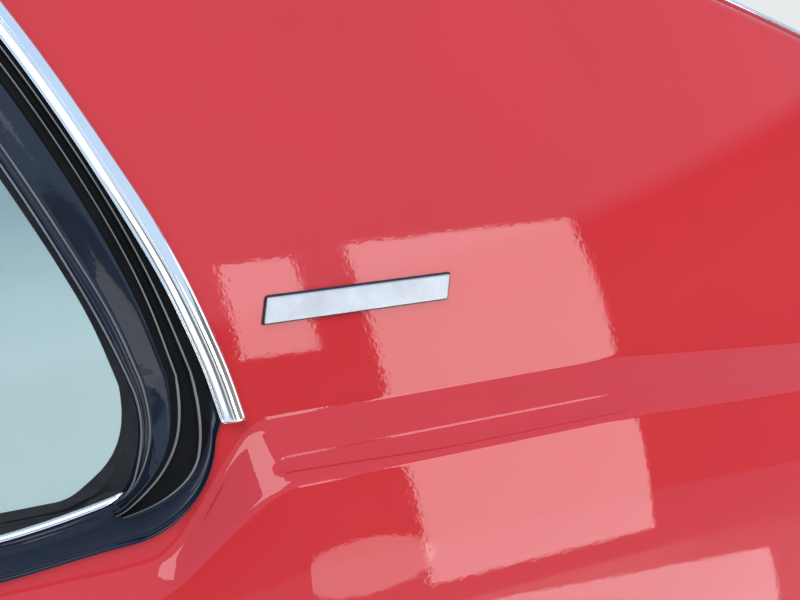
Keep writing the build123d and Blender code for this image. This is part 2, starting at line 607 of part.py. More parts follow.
def badge_blank():
    """Plain leaning plate on the sail, behind the moulding."""
    z0, z1 = BADGE_Z
    x0 = REAR_ARC[0] + sqrt(REAR_ARC_R**2 - ((z0 + z1) / 2 - REAR_ARC[1]) ** 2) + BADGE_GAP
    x1 = x0 + BADGE_LENGTH
    plate = polygon([(x0, z0), (x1, z0), (x1 + BADGE_LEAN, z1), (x0 + BADGE_LEAN, z1)])
    corners = [(side_y(z0, SEAT), z0), (side_y(z1, SEAT), z1)]
    corners += [(side_y(z1, BADGE_H), z1), (side_y(z0, BADGE_H), z0)]
    face = Face(wire_of(list(zip(corners, corners[1:] + corners[:1])), lambda y, z: (x0 - 5, y, z)))
    return extrude(face, amount=BADGE_LENGTH + 20, dir=(1, 0, 0)) & plate


def along_edge(points, front, back):
    """A rail with the given section, carried along the inner edge of the land."""
    faces = []
    for x in [front] + [s for s in STATIONS if front < s < back] + [back]:
        y, z = key_points(x)["land_end"]
        faces.append(Wire(Polyline(*[(x, y + dy, z + dz) for dy, dz in points], close=True)))
    return Solid.make_loft(faces, ruled=True)


def hatch_gutter():
    """Rain gutter beside the hatch: a lap under the land, a channel and an upright flange for the seal."""
    t, slope = INNER_SHEET, LAND_RISE / LAND_W
    drop = SKIN * DROP_SHARE + SEAT + 0.5
    y0, y1, y2 = -LAP, GUTTER_FIT, GUTTER_FIT + GUTTER_W
    z0 = y0 * slope - drop
    points = [(y0, z0), (y1, -drop), (y1, -GUTTER_H), (y2 - t, -GUTTER_H), (y2 - t, -2.0), (y2, -2.0),
              (y2, -GUTTER_H - t), (y1 - t, -GUTTER_H - t), (y1 - t, -drop - t - t * slope), (y0, z0 - t)]
    return along_edge(points, GUTTER_FRONT_X, TAIL_X - 2)


def hatch_seal():
    y, low = GUTTER_FIT + GUTTER_W - INNER_SHEET / 2, SEAT - 2.0
    side, tip, top = SEAL_W / 2, SEAL_TOP_W / 2, low + SEAL_H
    points = [(y - side, low), (y + side, low), (y + side, top - SEAL_TOP_H), (y + tip, top), (y - tip, top),
              (y - side, top - SEAL_TOP_H)]
    return along_edge(points, SEAL_FRONT_X, TAIL_X - 8)


def knuckle(row):
    """One hinge barrel: row 0 is the flap's, rows -1 and 1 the pocket's below and above it."""
    barrel = Cylinder(KNUCKLE_R, KNUCKLE_L) - Cylinder(PIN_R + PIN_FIT, 2 * KNUCKLE_L)
    return Pos(HINGE_X, HINGE_Y, HINGE_Z + row * (KNUCKLE_L + SEAT)) * barrel


def hinge_bore():
    return Pos(HINGE_X, HINGE_Y, HINGE_Z) * Cylinder(PIN_R + PIN_FIT, 6 * KNUCKLE_L)


def fuel_pocket():
    """Recess behind the flap, with a floor that the neck passes through."""
    m, w = POCKET_MARGIN, POCKET_WALL
    x0, x1, z0, z1 = FLAP[0] - HINGE_GAP - m, FLAP[1] + m, FLAP[2] - m, FLAP[3] + m
    outer, inner = rounded(x0, x1, z0, z1, FLAP_R), rounded(x0 + w, x1 - w, z0 + w, z1 - w, FLAP_R - w)
    floor_back = POCKET_FLOOR_Y + w
    wall = (outer - inner) & shell(SKIN + SEAT, Y_FAR / 2, STATIONS[-4], TAIL_X)
    wall &= block(x0, x1, -Y_FAR, floor_back, z0, z1)
    floor = (outer & block(x0, x1, POCKET_FLOOR_Y, floor_back, z0, z1)) - drum(NECK_X, HINGE_Z, NECK_R + SEAT)
    return wall + floor


def fuel_hinge():
    """Fixed leaf: two knuckles on a strap that lies inside the panel ahead of the flap."""
    reach, half = 1.5 * KNUCKLE_L + SEAT, KNUCKLE_L / 2 + SEAT
    x_edge = FLAP[0] - HINGE_GAP - POCKET_MARGIN + 2
    strap = shell(SKIN + SEAT, POCKET_WALL, STATIONS[-4], TAIL_X)
    strap &= slab(x_edge, HINGE_X - 1, HINGE_Z - reach, HINGE_Z + reach)
    strap -= slab(HINGE_X - KNUCKLE_R - 0.8, FLAP[0], HINGE_Z - half, HINGE_Z + half)
    return (strap + knuckle(-1) + knuckle(1)) - hinge_bore()


def fuel_flap():
    """Flap cut from the panel's own surface, with the moving knuckle on its front edge."""
    half = KNUCKLE_L / 2
    lid = shell(0, SKIN, STATIONS[-4], TAIL_X) & flap_outline(0)
    leaf = shell(SKIN - 0.2, POCKET_WALL, STATIONS[-4], TAIL_X)
    leaf &= slab(HINGE_X, FLAP[0] + FLAP_LEAF, HINGE_Z - half, HINGE_Z + half)
    return (lid + leaf + knuckle(0)) - hinge_bore()


def fuel_pin():
    return Pos(HINGE_X, HINGE_Y, HINGE_Z) * Cylinder(PIN_R, 3 * KNUCKLE_L + 2 * SEAT)


def fuel_neck():
    """Filler tube, stepped down to a hose spigot at its inboard end."""
    tube = drum(NECK_X, HINGE_Z, NECK_R, NECK_RIM_Y, NECK_STEP_Y)
    spigot = drum(NECK_X, HINGE_Z, SPIGOT_R, NECK_STEP_Y, NECK_END_Y)
    return tube + spigot - drum(NECK_X, HINGE_Z, NECK_BORE_R)


def fuel_cap():
    rim = NECK_RIM_Y - SEAT
    length, width, height = GRIP
    cap = drum(NECK_X, HINGE_Z, CAP_R, rim - CAP_H, rim)
    return cap + block(NECK_X - length / 2, NECK_X + length / 2, rim - CAP_H - height, rim - CAP_H + 1,
                       HINGE_Z - width / 2, HINGE_Z + width / 2)


PIECES = {
    "quarter_panel": quarter_panel,
    "sill_end": sill_end,
    "wheelhouse_outer": wheelhouse,
    "lock_pillar": lock_pillar,
    "inner_quarter_panel": inner_quarter_panel,
    "belt_anchor": belt_anchor,
    "belt_rail": belt_rail,
    "sail_inner": sail_inner,
    "roof_side_rail": roof_side_rail,
    "quarter_glass": quarter_glass,
    "glass_gasket": glass_gasket,
    "window_frame": window_frame,
    "window_surround": window_surround,
    "lower_bead": lower_bead,
    "drip_moulding": drip_moulding,
    "badge_blank": badge_blank,
    "hatch_gutter": hatch_gutter,
    "hatch_seal": hatch_seal,
    "fuel_pocket": fuel_pocket,
    "fuel_hinge": fuel_hinge,
    "fuel_flap": fuel_flap,
    "fuel_hinge_pin": fuel_pin,
    "fuel_neck": fuel_neck,
    "fuel_cap": fuel_cap,
}

if __name__ == "__main__":
    os.makedirs("parts", exist_ok=True)
    for name, make in PIECES.items():
        export_step(make(), f"parts/{name}.step")
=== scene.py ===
import bpy
import numpy as np
from mathutils import Matrix, Vector

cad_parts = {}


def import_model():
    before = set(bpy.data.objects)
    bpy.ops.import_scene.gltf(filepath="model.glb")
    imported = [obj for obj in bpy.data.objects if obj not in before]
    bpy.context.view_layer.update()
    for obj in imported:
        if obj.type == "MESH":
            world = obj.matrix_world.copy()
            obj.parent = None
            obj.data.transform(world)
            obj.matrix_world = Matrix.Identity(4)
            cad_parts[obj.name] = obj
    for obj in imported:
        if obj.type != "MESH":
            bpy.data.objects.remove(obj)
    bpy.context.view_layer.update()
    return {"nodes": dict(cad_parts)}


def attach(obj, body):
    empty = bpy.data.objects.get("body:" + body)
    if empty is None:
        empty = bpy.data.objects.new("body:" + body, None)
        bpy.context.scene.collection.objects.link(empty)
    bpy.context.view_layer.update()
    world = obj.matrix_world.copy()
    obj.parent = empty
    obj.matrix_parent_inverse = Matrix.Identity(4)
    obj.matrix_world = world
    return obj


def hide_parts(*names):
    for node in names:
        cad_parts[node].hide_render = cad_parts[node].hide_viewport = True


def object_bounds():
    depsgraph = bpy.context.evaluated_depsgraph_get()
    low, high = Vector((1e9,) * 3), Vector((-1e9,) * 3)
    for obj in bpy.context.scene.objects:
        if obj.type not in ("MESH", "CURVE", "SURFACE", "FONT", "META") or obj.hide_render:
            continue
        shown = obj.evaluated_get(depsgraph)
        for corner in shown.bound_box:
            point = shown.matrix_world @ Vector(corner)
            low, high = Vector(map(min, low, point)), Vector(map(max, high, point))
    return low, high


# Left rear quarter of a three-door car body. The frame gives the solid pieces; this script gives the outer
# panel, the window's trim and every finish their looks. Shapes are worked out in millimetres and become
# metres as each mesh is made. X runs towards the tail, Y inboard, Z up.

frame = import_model()
MM = 0.001
BODY, FLAP_BODY = "body_side", "fuel_flap"

# Panel sizes, as the solids have them
SKIN, SEAT = 1.2, 0.3
SHUT_X, TAIL_X = -60.0, 1340.0
AXLE_X, AXLE_Z, ARCH_R = 370.0, 110.0, 335.0
ARCH_LIP, TAIL_LIP, SHUT_LIP = 34.0, 20.0, 16.0
REAR_LOW_Z = 130.0
DROP_SHARE = 0.7
SIDE_R, SIDE_CY, SIDE_CZ = 1300.0, 1186.4, 425.5
LOW_CREASE_Z, HIGH_CREASE_Z = 668.0, 734.0
LOW_CREST, HIGH_CREST = (-102.0, 644.0), (-110.0, 709.0)
CREASE_KICK, CREST_KICK = (438.0, 514.0), (418.0, 522.0)
CREASE_R, CREST_R, TOP_EDGE_R = 16.0, 10.0, 12.0
TAIL_DROP_X, TAIL_CREASE_DROP, TAIL_CREST_DROP = 770.0, 46.0, 40.0
LOW_WIDE, HIGH_WIDE, SIDE_LOW = (-134.0, 440.0), (-146.0, 480.0), (-124.0, 60.0)
TAPER_X, TAPER = 760.0, 60.0
ROOF_X = (-60.0, 300.0, 480.0, 600.0, 760.0, 908.0, 1130.0, 1340.0)
ROOF_Z = (1094.0, 1089.0, 1082.0, 1066.0, 1025.0, 972.0, 888.0, 804.0)
LAND_W, LAND_RISE = 28.0, 9.0
ROOF_LOWER = 0.6                    # how far the roof and hatch edge lies below the table's line

# Window sizes, as the solids have them
REAR_CX, REAR_CZ, REAR_R = -280.0, 548.0, 805.0
WINDOW_TOP = 1052.0
FRONT_LOW_X, FRONT_TOP_X = -52.0, -34.0
FOOT_Z, SURROUND_W = 677.0, 20.0
FRONT_LEAN = (FRONT_TOP_X - FRONT_LOW_X) / (WINDOW_TOP - FOOT_Z)
CORNER_R, UPPER_R, FRAME_UPPER_R = 60.0, 40.0, 32.0
MOULDING_END_Z = 740.0
FRAME_IN, DAYLIGHT_IN, DAYLIGHT_FOOT = 17.5, 60.0, 709.0
DAYLIGHT_CORNER_R, DAYLIGHT_UPPER_R = 45.0, 37.0
OPENING_IN = 26.0

# Fuel flap sizes, as the solids have them
FLAP = (1044.0, 1184.0, 452.0, 582.0)
FLAP_R, FLAP_GAP, HINGE_GAP = 22.0, 4.0, 12.0
KNUCKLE_R, KNUCKLE_L = 3.6, 16.0
HINGE_X, HINGE_Z, HINGE_AT = 1038.0, 517.0, 0.62    # its axis lies 0.62 of the knuckle's radius inside

# Badge sizes, as the solids have them
BADGE_X, BADGE_LENGTH, BADGE_LEAN = 518.0, 125.0, 4.5
BADGE_Z = (792.0, 808.5)

# Sizes that only the looks have
ARCH_BAND, ARCH_ROLL = 12.0, 4.0    # pressed band round the arch, and the roll of its edge
EDGE_ROLL = 3.0                     # roll of the panel's other turned edges
FLAP_ROLL = 1.5                     # roll of the flap's edge
FREE = 50.0                         # distance that stands for no edge nearby
SHEET_LAP = 0.4                     # how far the grid of a turned edge laps over the panel's
LEAF_LAP, LEAF_GAP, LEAF_T = 16.0, 0.05, 1.2   # reach of the hinge's leaf on the flap, gap and thickness
BEAD_TOP_Z = 700.6                  # where the frame's front run ends, just inside the bright bead
TRIM_FOOT = 0.4                     # height over the panel at which the trim's cross sections begin
TRIM_GAP = 0.5                      # gap between neighbouring trim pieces

# The shoulder's groove: its depth, the width of its slope, and heights up the shoulder with the x between
# which they change, aft of its rounded front end
GROOVE_DEPTH, GROOVE_STEP, GROOVE_FRONT_X = 1.5, 1.8, 513.0
GROOVE_TOP, GROOVE_TOP_X = (18.5, 15.5), (742.0, 776.0)
GROOVE_FOOT, GROOVE_FOOT_X = (8.4, 0.0), (519.0, 703.0)
GROOVE_FADE_X = (730.0, 790.0)

# Places of the panel's sections, as first x, end and step, closest where the crease kicks up
COLUMN_RUNS = (
    (SHUT_X + 12, 396.0, 12.0), (400.0, 546.0, 3.0), (548.0, 1000.0, 5.0), (1005.0, TAIL_X - 8, 9.0),
)
SECTION_COUNTS = (26, 26, 10, 36, 10, 74, 9, 6)   # rows on each stretch, from the foot up to the land


# Numbers and curves

def ease(t):
    """0 before 0, 1 after 1, and between them three times the square less twice the cube."""
    t = np.clip(t, 0.0, 1.0)
    return t * t * (3.0 - 2.0 * t)


def between(a, b, share):
    """The value a share of the way from a to b."""
    return a + (b - a) * share


def along(x, ends):
    """The share of the way from one end to the other at which x lies; it isn't limited to 0 and 1."""
    return (x - ends[0]) / (ends[1] - ends[0])


def before(x, ends):
    """1 up to the first end, 0 past the second, and a smooth fall between."""
    return ease((ends[1] - x) / (ends[1] - ends[0]))


def side_y(z, proud=0.0):
    """Y of the cylinder of the upper side at height z, or of a surface that stands proud of it."""
    return SIDE_CY - np.sqrt((SIDE_R + proud) ** 2 - (z - SIDE_CZ) ** 2)


def roof_z(x):
    """Height of the roof and hatch edge: straight runs between the table's rows, averaged over 80 mm."""
    shifts = np.linspace(-40.0, 40.0, 9)
    return np.mean([np.interp(x + shift, ROOF_X, ROOF_Z) for shift in shifts], axis=0) - ROOF_LOWER


def key_points(x):
    """Corners of the body section at each x, and how far the plan taper has moved it inboard.

    Crest, crease and widest line kick up by an ease between two x. Towards the tail, crest and crease fall
    in proportion, and the taper grows with the square of the distance.
    """
    kick, crease_kick = ease(along(x, CREST_KICK)), ease(along(x, CREASE_KICK))
    inward = TAPER * np.maximum(0.0, along(x, (TAPER_X, TAIL_X))) ** 2
    fall = np.maximum(0.0, along(x, (TAIL_DROP_X, TAIL_X)))
    crease_z = between(LOW_CREASE_Z, HIGH_CREASE_Z, crease_kick) - TAIL_CREASE_DROP * fall
    top_z = roof_z(x)
    return {
        "inward": inward,
        "side_low": (SIDE_LOW[0] + inward, SIDE_LOW[1] + 0 * x),
        "wide": (between(LOW_WIDE[0], HIGH_WIDE[0], kick) + inward,
                 between(LOW_WIDE[1], HIGH_WIDE[1], kick)),
        "crest": (between(LOW_CREST[0], HIGH_CREST[0], kick) + inward,
                  between(LOW_CREST[1], HIGH_CREST[1], kick) - TAIL_CREST_DROP * fall),
        "crease": (side_y(crease_z) + inward, crease_z),
        "sail_top": (side_y(top_z) + inward, top_z),
        "land_end": (side_y(top_z) + inward + TOP_EDGE_R + LAND_W, top_z + LAND_RISE),
    }


def circle_through(wide, end):
    """Centre and radius of the circle that is upright at wide and passes through end."""
    rise, run = end[1] - wide[1], end[0] - wide[0]
    radius = (rise**2 + run**2) / (2 * run)
    return (wide[0] + radius, wide[1]), radius


def round_corner(start, stop, near, centre, radius, r, convex):
    """Centre of the arc of radius r between a line and a circle, and its points on the line and circle.

    The centre lies r from the line and r inside the circle, or on their other sides at a concave corner.
    Of the two such places it is the one nearest the line's share near.
    """
    sign = 1.0 if convex else -1.0
    length = np.hypot(stop[0] - start[0], stop[1] - start[1])
    dy, dz = (stop[0] - start[0]) / length, (stop[1] - start[1]) / length
    ny, nz = dz * sign, -dy * sign
    oy, oz = start[0] + ny * r - centre[0], start[1] + nz * r - centre[1]
    half = oy * dy + oz * dz
    root = np.sqrt(half**2 - (oy**2 + oz**2 - (radius - sign * r) ** 2))
    target = near * length
    s = np.where(np.abs(root - half - target) < np.abs(-root - half - target), root - half, -root - half)
    fy, fz = centre[0] + oy + s * dy, centre[1] + oz + s * dz
    share = radius / (radius - sign * r)
    on_round = (centre[0] + (fy - centre[0]) * share, centre[1] + (fz - centre[1]) * share)
    return (fy, fz), (fy - ny * r, fz - nz * r), on_round


def arc_rows(centre, a, b, count):
    """Points on the arc from a to b about a centre, by equal steps of its angle, for every section."""
    a0 = np.arctan2(a[1] - centre[1], a[0] - centre[0])
    a1 = np.arctan2(b[1] - centre[1], b[0] - centre[0])
    turn = (a1 - a0 + np.pi) % (2 * np.pi) - np.pi
    radius = np.hypot(a[0] - centre[0], a[1] - centre[1])
    angle = a0 + turn * np.linspace(0.0, 1.0, count)[:, None]
    return np.stack([centre[0] + radius * np.cos(angle), centre[1] + radius * np.sin(angle)], -1)


def line_rows(a, b, count):
    """Points on the straight line from a to b, by equal steps, for every section."""
    t = np.linspace(0.0, 1.0, count)[:, None]
    return np.stack([between(a[0], b[0], t), between(a[1], b[1], t)], -1)


def groove(x, share, length):
    """Depth of the groove along the shoulder: a long slot, rounded in front, that widens and fades aft.

    share is the place up the slope from crest to crease and length the slope's length. The distance inside
    the slot's edge is its half width less the distance from its middle line, and eases into the depth.
    """
    up = share * length
    top = between(*GROOVE_TOP, ease(along(x, GROOVE_TOP_X)))
    foot = between(*GROOVE_FOOT, np.clip(along(x, GROOVE_FOOT_X), 0.0, 1.0))
    middle, half = (top + foot) / 2, (top - foot) / 2
    inside = half - np.hypot(np.minimum(x - GROOVE_FRONT_X - half, 0.0), up - middle)
    return GROOVE_DEPTH * ease(inside / GROOVE_STEP + 0.5) * before(x, GROOVE_FADE_X)


def section_rows(x):
    """The outer line of the body side at every x, as rows by sections by y and z.

    Each stretch is a line or an arc: side below the widest line, side above it, crest, shoulder slope,
    crease, sail, rounded top edge and land. The shoulder slope is pressed in along the groove.
    """
    k = key_points(x)
    low, upper = circle_through(k["wide"], k["side_low"]), circle_through(k["wide"], k["crest"])
    sail = (SIDE_CY + k["inward"], SIDE_CZ + 0 * x)
    crest = round_corner(k["crest"], k["crease"], 0.0, *upper, CREST_R, True)
    crease = round_corner(k["crest"], k["crease"], 1.0, sail, SIDE_R, CREASE_R, False)
    top = round_corner(k["sail_top"], k["land_end"], 0.0, sail, SIDE_R, TOP_EDGE_R, True)
    n = SECTION_COUNTS
    slope = line_rows(crest[1], crease[1], n[3])
    run, rise = k["crease"][0] - k["crest"][0], k["crease"][1] - k["crest"][1]
    length = np.hypot(run, rise)
    share = (slope[..., 1] - k["crest"][1]) / rise
    depth = groove(x[None, :], share, length)
    slope += depth[..., None] * np.stack([rise / length, -run / length], -1)
    stretches = [
        arc_rows(low[0], k["side_low"], k["wide"], n[0]),
        arc_rows(upper[0], k["wide"], crest[2], n[1]),
        arc_rows(crest[0], crest[2], crest[1], n[2]),
        slope,
        arc_rows(crease[0], crease[1], crease[2], n[4]),
        arc_rows(sail, crease[2], top[2], n[5]),
        arc_rows(top[0], top[2], top[1], n[6]),
        line_rows(top[1], k["land_end"], n[7]),
    ]
    return np.concatenate([stretches[0]] + [rows[1:] for rows in stretches[1:]])


def surface_y(x, z):
    """Y of the outer surface below the crest, on the circle below or above the widest line."""
    k = key_points(x)
    lower, upper = circle_through(k["wide"], k["side_low"]), circle_through(k["wide"], k["crest"])
    above = z > k["wide"][1]
    centre_y = np.where(above, upper[0][0], lower[0][0])
    radius = np.where(above, upper[1], lower[1])
    return centre_y - np.sqrt(radius**2 - (z - k["wide"][1]) ** 2)


def roll(inside, r):
    """How far inboard an edge rolled to radius r lies at a distance inside it: a quarter circle."""
    gap = np.clip(r - inside, 0.0, r)
    return r - np.sqrt(r**2 - gap**2)


# Meshes

def grid_faces(rows, cols, wrap_rows=False, wrap_cols=False):
    """Quads between the points of a grid numbered row by row, closed round either way where it wraps."""
    r = np.arange(rows if wrap_rows else rows - 1)
    c = np.arange(cols if wrap_cols else cols - 1)
    r, c = np.meshgrid(r, c, indexing="ij")
    r1, c1 = (r + 1) % rows, (c + 1) % cols
    return np.stack([r * cols + c, r * cols + c1, r1 * cols + c1, r1 * cols + c], -1).reshape(-1, 4)


def strip_faces(rows, cols):
    """Faces of a closed profile of rows points carried over cols columns, with both its ends closed."""
    faces = grid_faces(rows, cols, wrap_rows=True).tolist()
    return faces + [[r * cols for r in range(rows)][::-1], [r * cols + cols - 1 for r in range(rows)]]


def ring_faces(rings, count):
    """Faces of a stack of rings of count points each, with the first and the last ring closed."""
    faces = grid_faces(rings, count, wrap_cols=True).tolist()
    return faces + [list(range(count))[::-1], list(range((rings - 1) * count, rings * count))]


def clipped_grid(points, keep):
    """Triangles of a grid where keep is above 0, cut along the line where it is 0.

    Each quad is two triangles. One with one corner kept is cut down to a smaller triangle, one with two
    kept becomes two, and the new corners lie on its edges in proportion to keep. Corners are shared.
    """
    rows, cols = keep.shape
    quads = grid_faces(rows, cols)
    tris = np.concatenate([quads[:, [0, 1, 2]], quads[:, [0, 2, 3]]])
    value = keep.ravel()
    inside = value[tris] > 0
    count = inside.sum(1)
    one, two = tris[count == 1], tris[count == 2]
    one = one[np.arange(len(one))[:, None], (inside[count == 1].argmax(1)[:, None] + [0, 1, 2]) % 3]
    two = two[np.arange(len(two))[:, None], ((~inside[count == 2]).argmax(1)[:, None] + [0, 1, 2]) % 3]
    edges = np.concatenate([one[:, [0, 1]], one[:, [0, 2]], two[:, [0, 1]], two[:, [0, 2]]])
    unique, index = np.unique(np.sort(edges, 1), axis=0, return_inverse=True)
    index = index.reshape(-1) + len(value)
    a, b, c, d = np.split(index, np.cumsum([len(one), len(one), len(two)]))
    share = (value[unique[:, 0]] / (value[unique[:, 0]] - value[unique[:, 1]]))[:, None]
    flat = points.reshape(-1, 3)
    cuts = flat[unique[:, 0]] * (1 - share) + flat[unique[:, 1]] * share
    faces = np.concatenate([
        tris[count == 3], np.stack([one[:, 0], a, b], 1), np.stack([c, two[:, 1], two[:, 2]], 1),
        np.stack([c, two[:, 2], d], 1)])
    used, faces = np.unique(faces, return_inverse=True)
    return np.concatenate([flat, cuts])[used], faces.reshape(-1, 3)


def joined(*parts):
    """Several meshes as one: their points one after another, and their faces numbered on."""
    verts, faces, start = [], [], 0
    for points, polygons in parts:
        points = np.asarray(points, float).reshape(-1, 3)
        verts.append(points)
        faces += [[int(corner) + start for corner in face] for face in polygons]
        start += len(points)
    return np.concatenate(verts), faces


def add_piece(name, verts, faces, material, body=BODY, slot=None, nodes=(), thickness=0.0):
    """A smooth object from points in millimetres, riding on a body and standing for CAD nodes if given.

    A sheet gets its thickness on the inboard side.
    """
    mesh = bpy.data.meshes.new(name)
    mesh.from_pydata((np.asarray(verts, float) * MM).tolist(), [], [list(map(int, face)) for face in faces])
    mesh.validate()
    mesh.polygons.foreach_set("use_smooth", np.full(len(mesh.polygons), True))
    mesh.update()
    mesh.materials.append(material)
    piece = bpy.data.objects.new(name, mesh)
    bpy.context.scene.collection.objects.link(piece)
    if thickness:
        solid = piece.modifiers.new("sheet", "SOLIDIFY")
        solid.thickness = thickness * MM
        solid.offset = -1.0
        solid.use_even_offset = True
        solid.use_quality_normals = True
    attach(piece, body)
    if nodes:
        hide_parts(*nodes)


# Window outlines

COUNTS = (60, 44, 90, 24, 60, 40)   # columns on the foot, low corner, rear, high corner, top and front
MIDDLE_IN = 30.0                    # inset at which the direction that each column faces is read

# Direction from which the frame's and the gasket's low corner run, instead of from the foot's -90 degrees
FRAME_BEGIN, GASKET_BEGIN = -80.0, -62.0

# Directions between which the lines' smoothing narrows, the frame opens from its point, its ridges slim,
# the surround's outer line moves out and the gasket's outer edge sinks
SMOOTH_TURN, PINCH_TURN, SLIM_TURN = (0.0, 14.0), (-86.0, -56.0), (9.0, 24.0)
SURROUND_TURN, GASKET_TURN = (-8.0, 8.0), (-85.0, -60.0)

# Insets of the window's lines from the rear arc, by the direction that the outline faces there: from the
# foot's -90 degrees round the low corner, up the rear edge, and round the high corner to the top
DIRECTIONS = (-90.0, -80.0, -60.0, -40.0, -20.0, 0.0, 17.0, 20.0, 23.0, 27.0, 90.0)
WINDOW_LINES = {
    "edge": (22.0, 21.9, 14.2, 10.8, 13.4, 14.3, 14.1, 14.1, 15.6, 16.7, 16.7),
    "ridge": (25.0, 24.9, 17.5, 13.7, 19.2, 22.4, 21.4, 19.4, 18.7, 19.4, 19.6),
    "second": (27.9, 27.9, 33.5, 33.3, 32.8, 32.7, 30.0, 25.8, 24.9, 25.1, 24.8),
    "brow": (28.8, 28.8, 35.0, 35.8, 36.4, 37.2, 34.5, 31.2, 30.8, 31.2, 32.0),
    "reveal": (29.7, 29.7, 35.8, 41.9, 45.9, 48.6, 48.3, 47.1, 49.6, 50.8, 51.4),
    "lip": (30.4, 30.4, 37.0, 46.4, 51.0, 53.4, 54.0, 54.4, 56.0, 57.0, 57.0),
    "clear": (59.5, 61.0, 65.5, 63.5, 63.0, 62.6, 60.5, 58.4, 60.0, 61.6, 61.6),
}

# The same for the moulding's two edges, which bow a little either side of the rear arc
MOULDING_TURNS = (14.0, 15.0, 16.0, 20.0, 21.0, 22.3, 24.0, 25.5, 27.5, 29.0)
MOULDING_OUT = (0.2, -0.5, -1.1, -1.1, -0.9, -0.4, 0.8, 2.0, 2.7, 2.6)
MOULDING_IN = (15.8, 15.3, 14.4, 14.4, 14.8, 15.7, 16.5, 16.9, 17.0, 17.0)

# Cross sections of the moulding and the surround, from the outer foot to the inner one: share of the
# width, and height proud of the panel
MOULDING_PROFILE = (
    (0.0, TRIM_FOOT), (0.0, 2.6), (0.015, 4.0), (0.05, 5.2), (0.11, 6.3), (0.19, 7.2), (0.28, 7.8),
    (0.38, 8.1), (0.46, 8.2), (0.505, 8.0), (0.52, 7.5), (0.54, 7.45), (0.555, 7.5), (0.65, 6.6),
    (0.75, 5.65), (0.84, 4.75), (0.88, 4.5), (0.905, 4.6), (0.93, 4.95), (0.96, 4.95), (0.985, 4.3),
    (1.0, 3.2), (1.0, TRIM_FOOT),
)
SURROUND_PROFILE = (
    (0.0, 0.35), (0.0, 1.2), (0.012, 2.1), (0.03, 2.8), (0.055, 3.1), (0.085, 3.0), (0.11, 2.3),
    (0.125, 1.0), (0.145, 0.8), (0.19, 1.2), (0.30, 1.6), (0.60, 1.8), (0.77, 1.8), (0.79, 2.7),
    (0.815, 2.7), (0.835, 1.5), (0.86, 1.5), (0.88, 2.7), (0.905, 2.7), (0.925, 1.4), (1.0, 1.2),
    (1.0, 0.35),
)
BEAD_PROFILE = (   # height above the bead's foot, and height proud
    (0.0, TRIM_FOOT), (0.0, 2.2), (0.4, 3.2), (1.1, 3.8), (2.1, 3.6), (3.0, 2.8), (3.6, 1.6),
    (3.6, TRIM_FOOT),
)

# The moulding's low end, with the height over which it is drawn in and its least width as a share, and its
# front end
END_H, END_WIDTH = 3.0, 0.72
MOULDING_FRONT_X = FRONT_TOP_X + 4.0

# The window's foot. Its lines start behind the window's front, and rise towards the low corner. The bead
# thins to its end. The gasket's foot goes over into an arc that rises round the frame's point
FOOT_START = 20.0
RISE_X, RISE_POWER, RISE_LIMIT = (345.0, 422.0), 1.6, 1.05
BEAD_RISE, BEAD_H, BEAD_THIN_X = 10.0, 3.6, (413.0, 425.0)
GASKET_FOOT_Z, GASKET_ARC_X, GASKET_ARC_Z, GASKET_ARC_R = 700.0, 405.4, 703.8, 54.2
GASKET_TURN_X = (410.0, 422.0)

# The surround: its foot, low corner, insets below and beside the corner, how far its foot falls forward,
# and where its inner line leaves the bead and its double inner edge fades
SURROUND_FOOT_Z, SURROUND_CORNER_R, SURROUND_IN = 680.7, 58.3, (17.5, 12.8)
SURROUND_FALL, SURROUND_FALL_X = 5.4, (340.0, 430.0)
SURROUND_RISE, SURROUND_LEAVE_X, SURROUND_FADE_X = 9.0, (419.0, 427.0), (388.0, 418.0)
SURROUND_FLAT = 1.8                 # height that the double edge fades to
SURROUND_END_Z = MOULDING_END_Z + 60.0


def smoothed(direction, places, values, half):
    """Table values averaged over half degrees either side of a direction, so that a line turns smoothly."""
    return np.interp(direction + half * np.linspace(-1.0, 1.0, 7)[:, None], places, values).mean(0)


def line_at(name, direction):
    """Inset of a window line, averaged over 18 degrees round the low corner and 3 up the long rear edge."""
    half = between(9.0, 1.5, ease(along(direction, SMOOTH_TURN)))
    return smoothed(direction, DIRECTIONS, WINDOW_LINES[name], half)


def foot_at(inset):
    """Height of the outline's foot at an inset, by the line through the frame's foot and the daylight's."""
    return between(FOOT_Z + SURROUND_W, DAYLIGHT_FOOT, along(inset, (FRAME_IN, DAYLIGHT_IN)))


def ring_radii(inset):
    """Radii of the outline's low and high corner at an inset, by the frame's and the daylight's."""
    share = along(inset, (FRAME_IN, DAYLIGHT_IN))
    return between(CORNER_R, DAYLIGHT_CORNER_R, share), between(FRAME_UPPER_R, DAYLIGHT_UPPER_R, share)


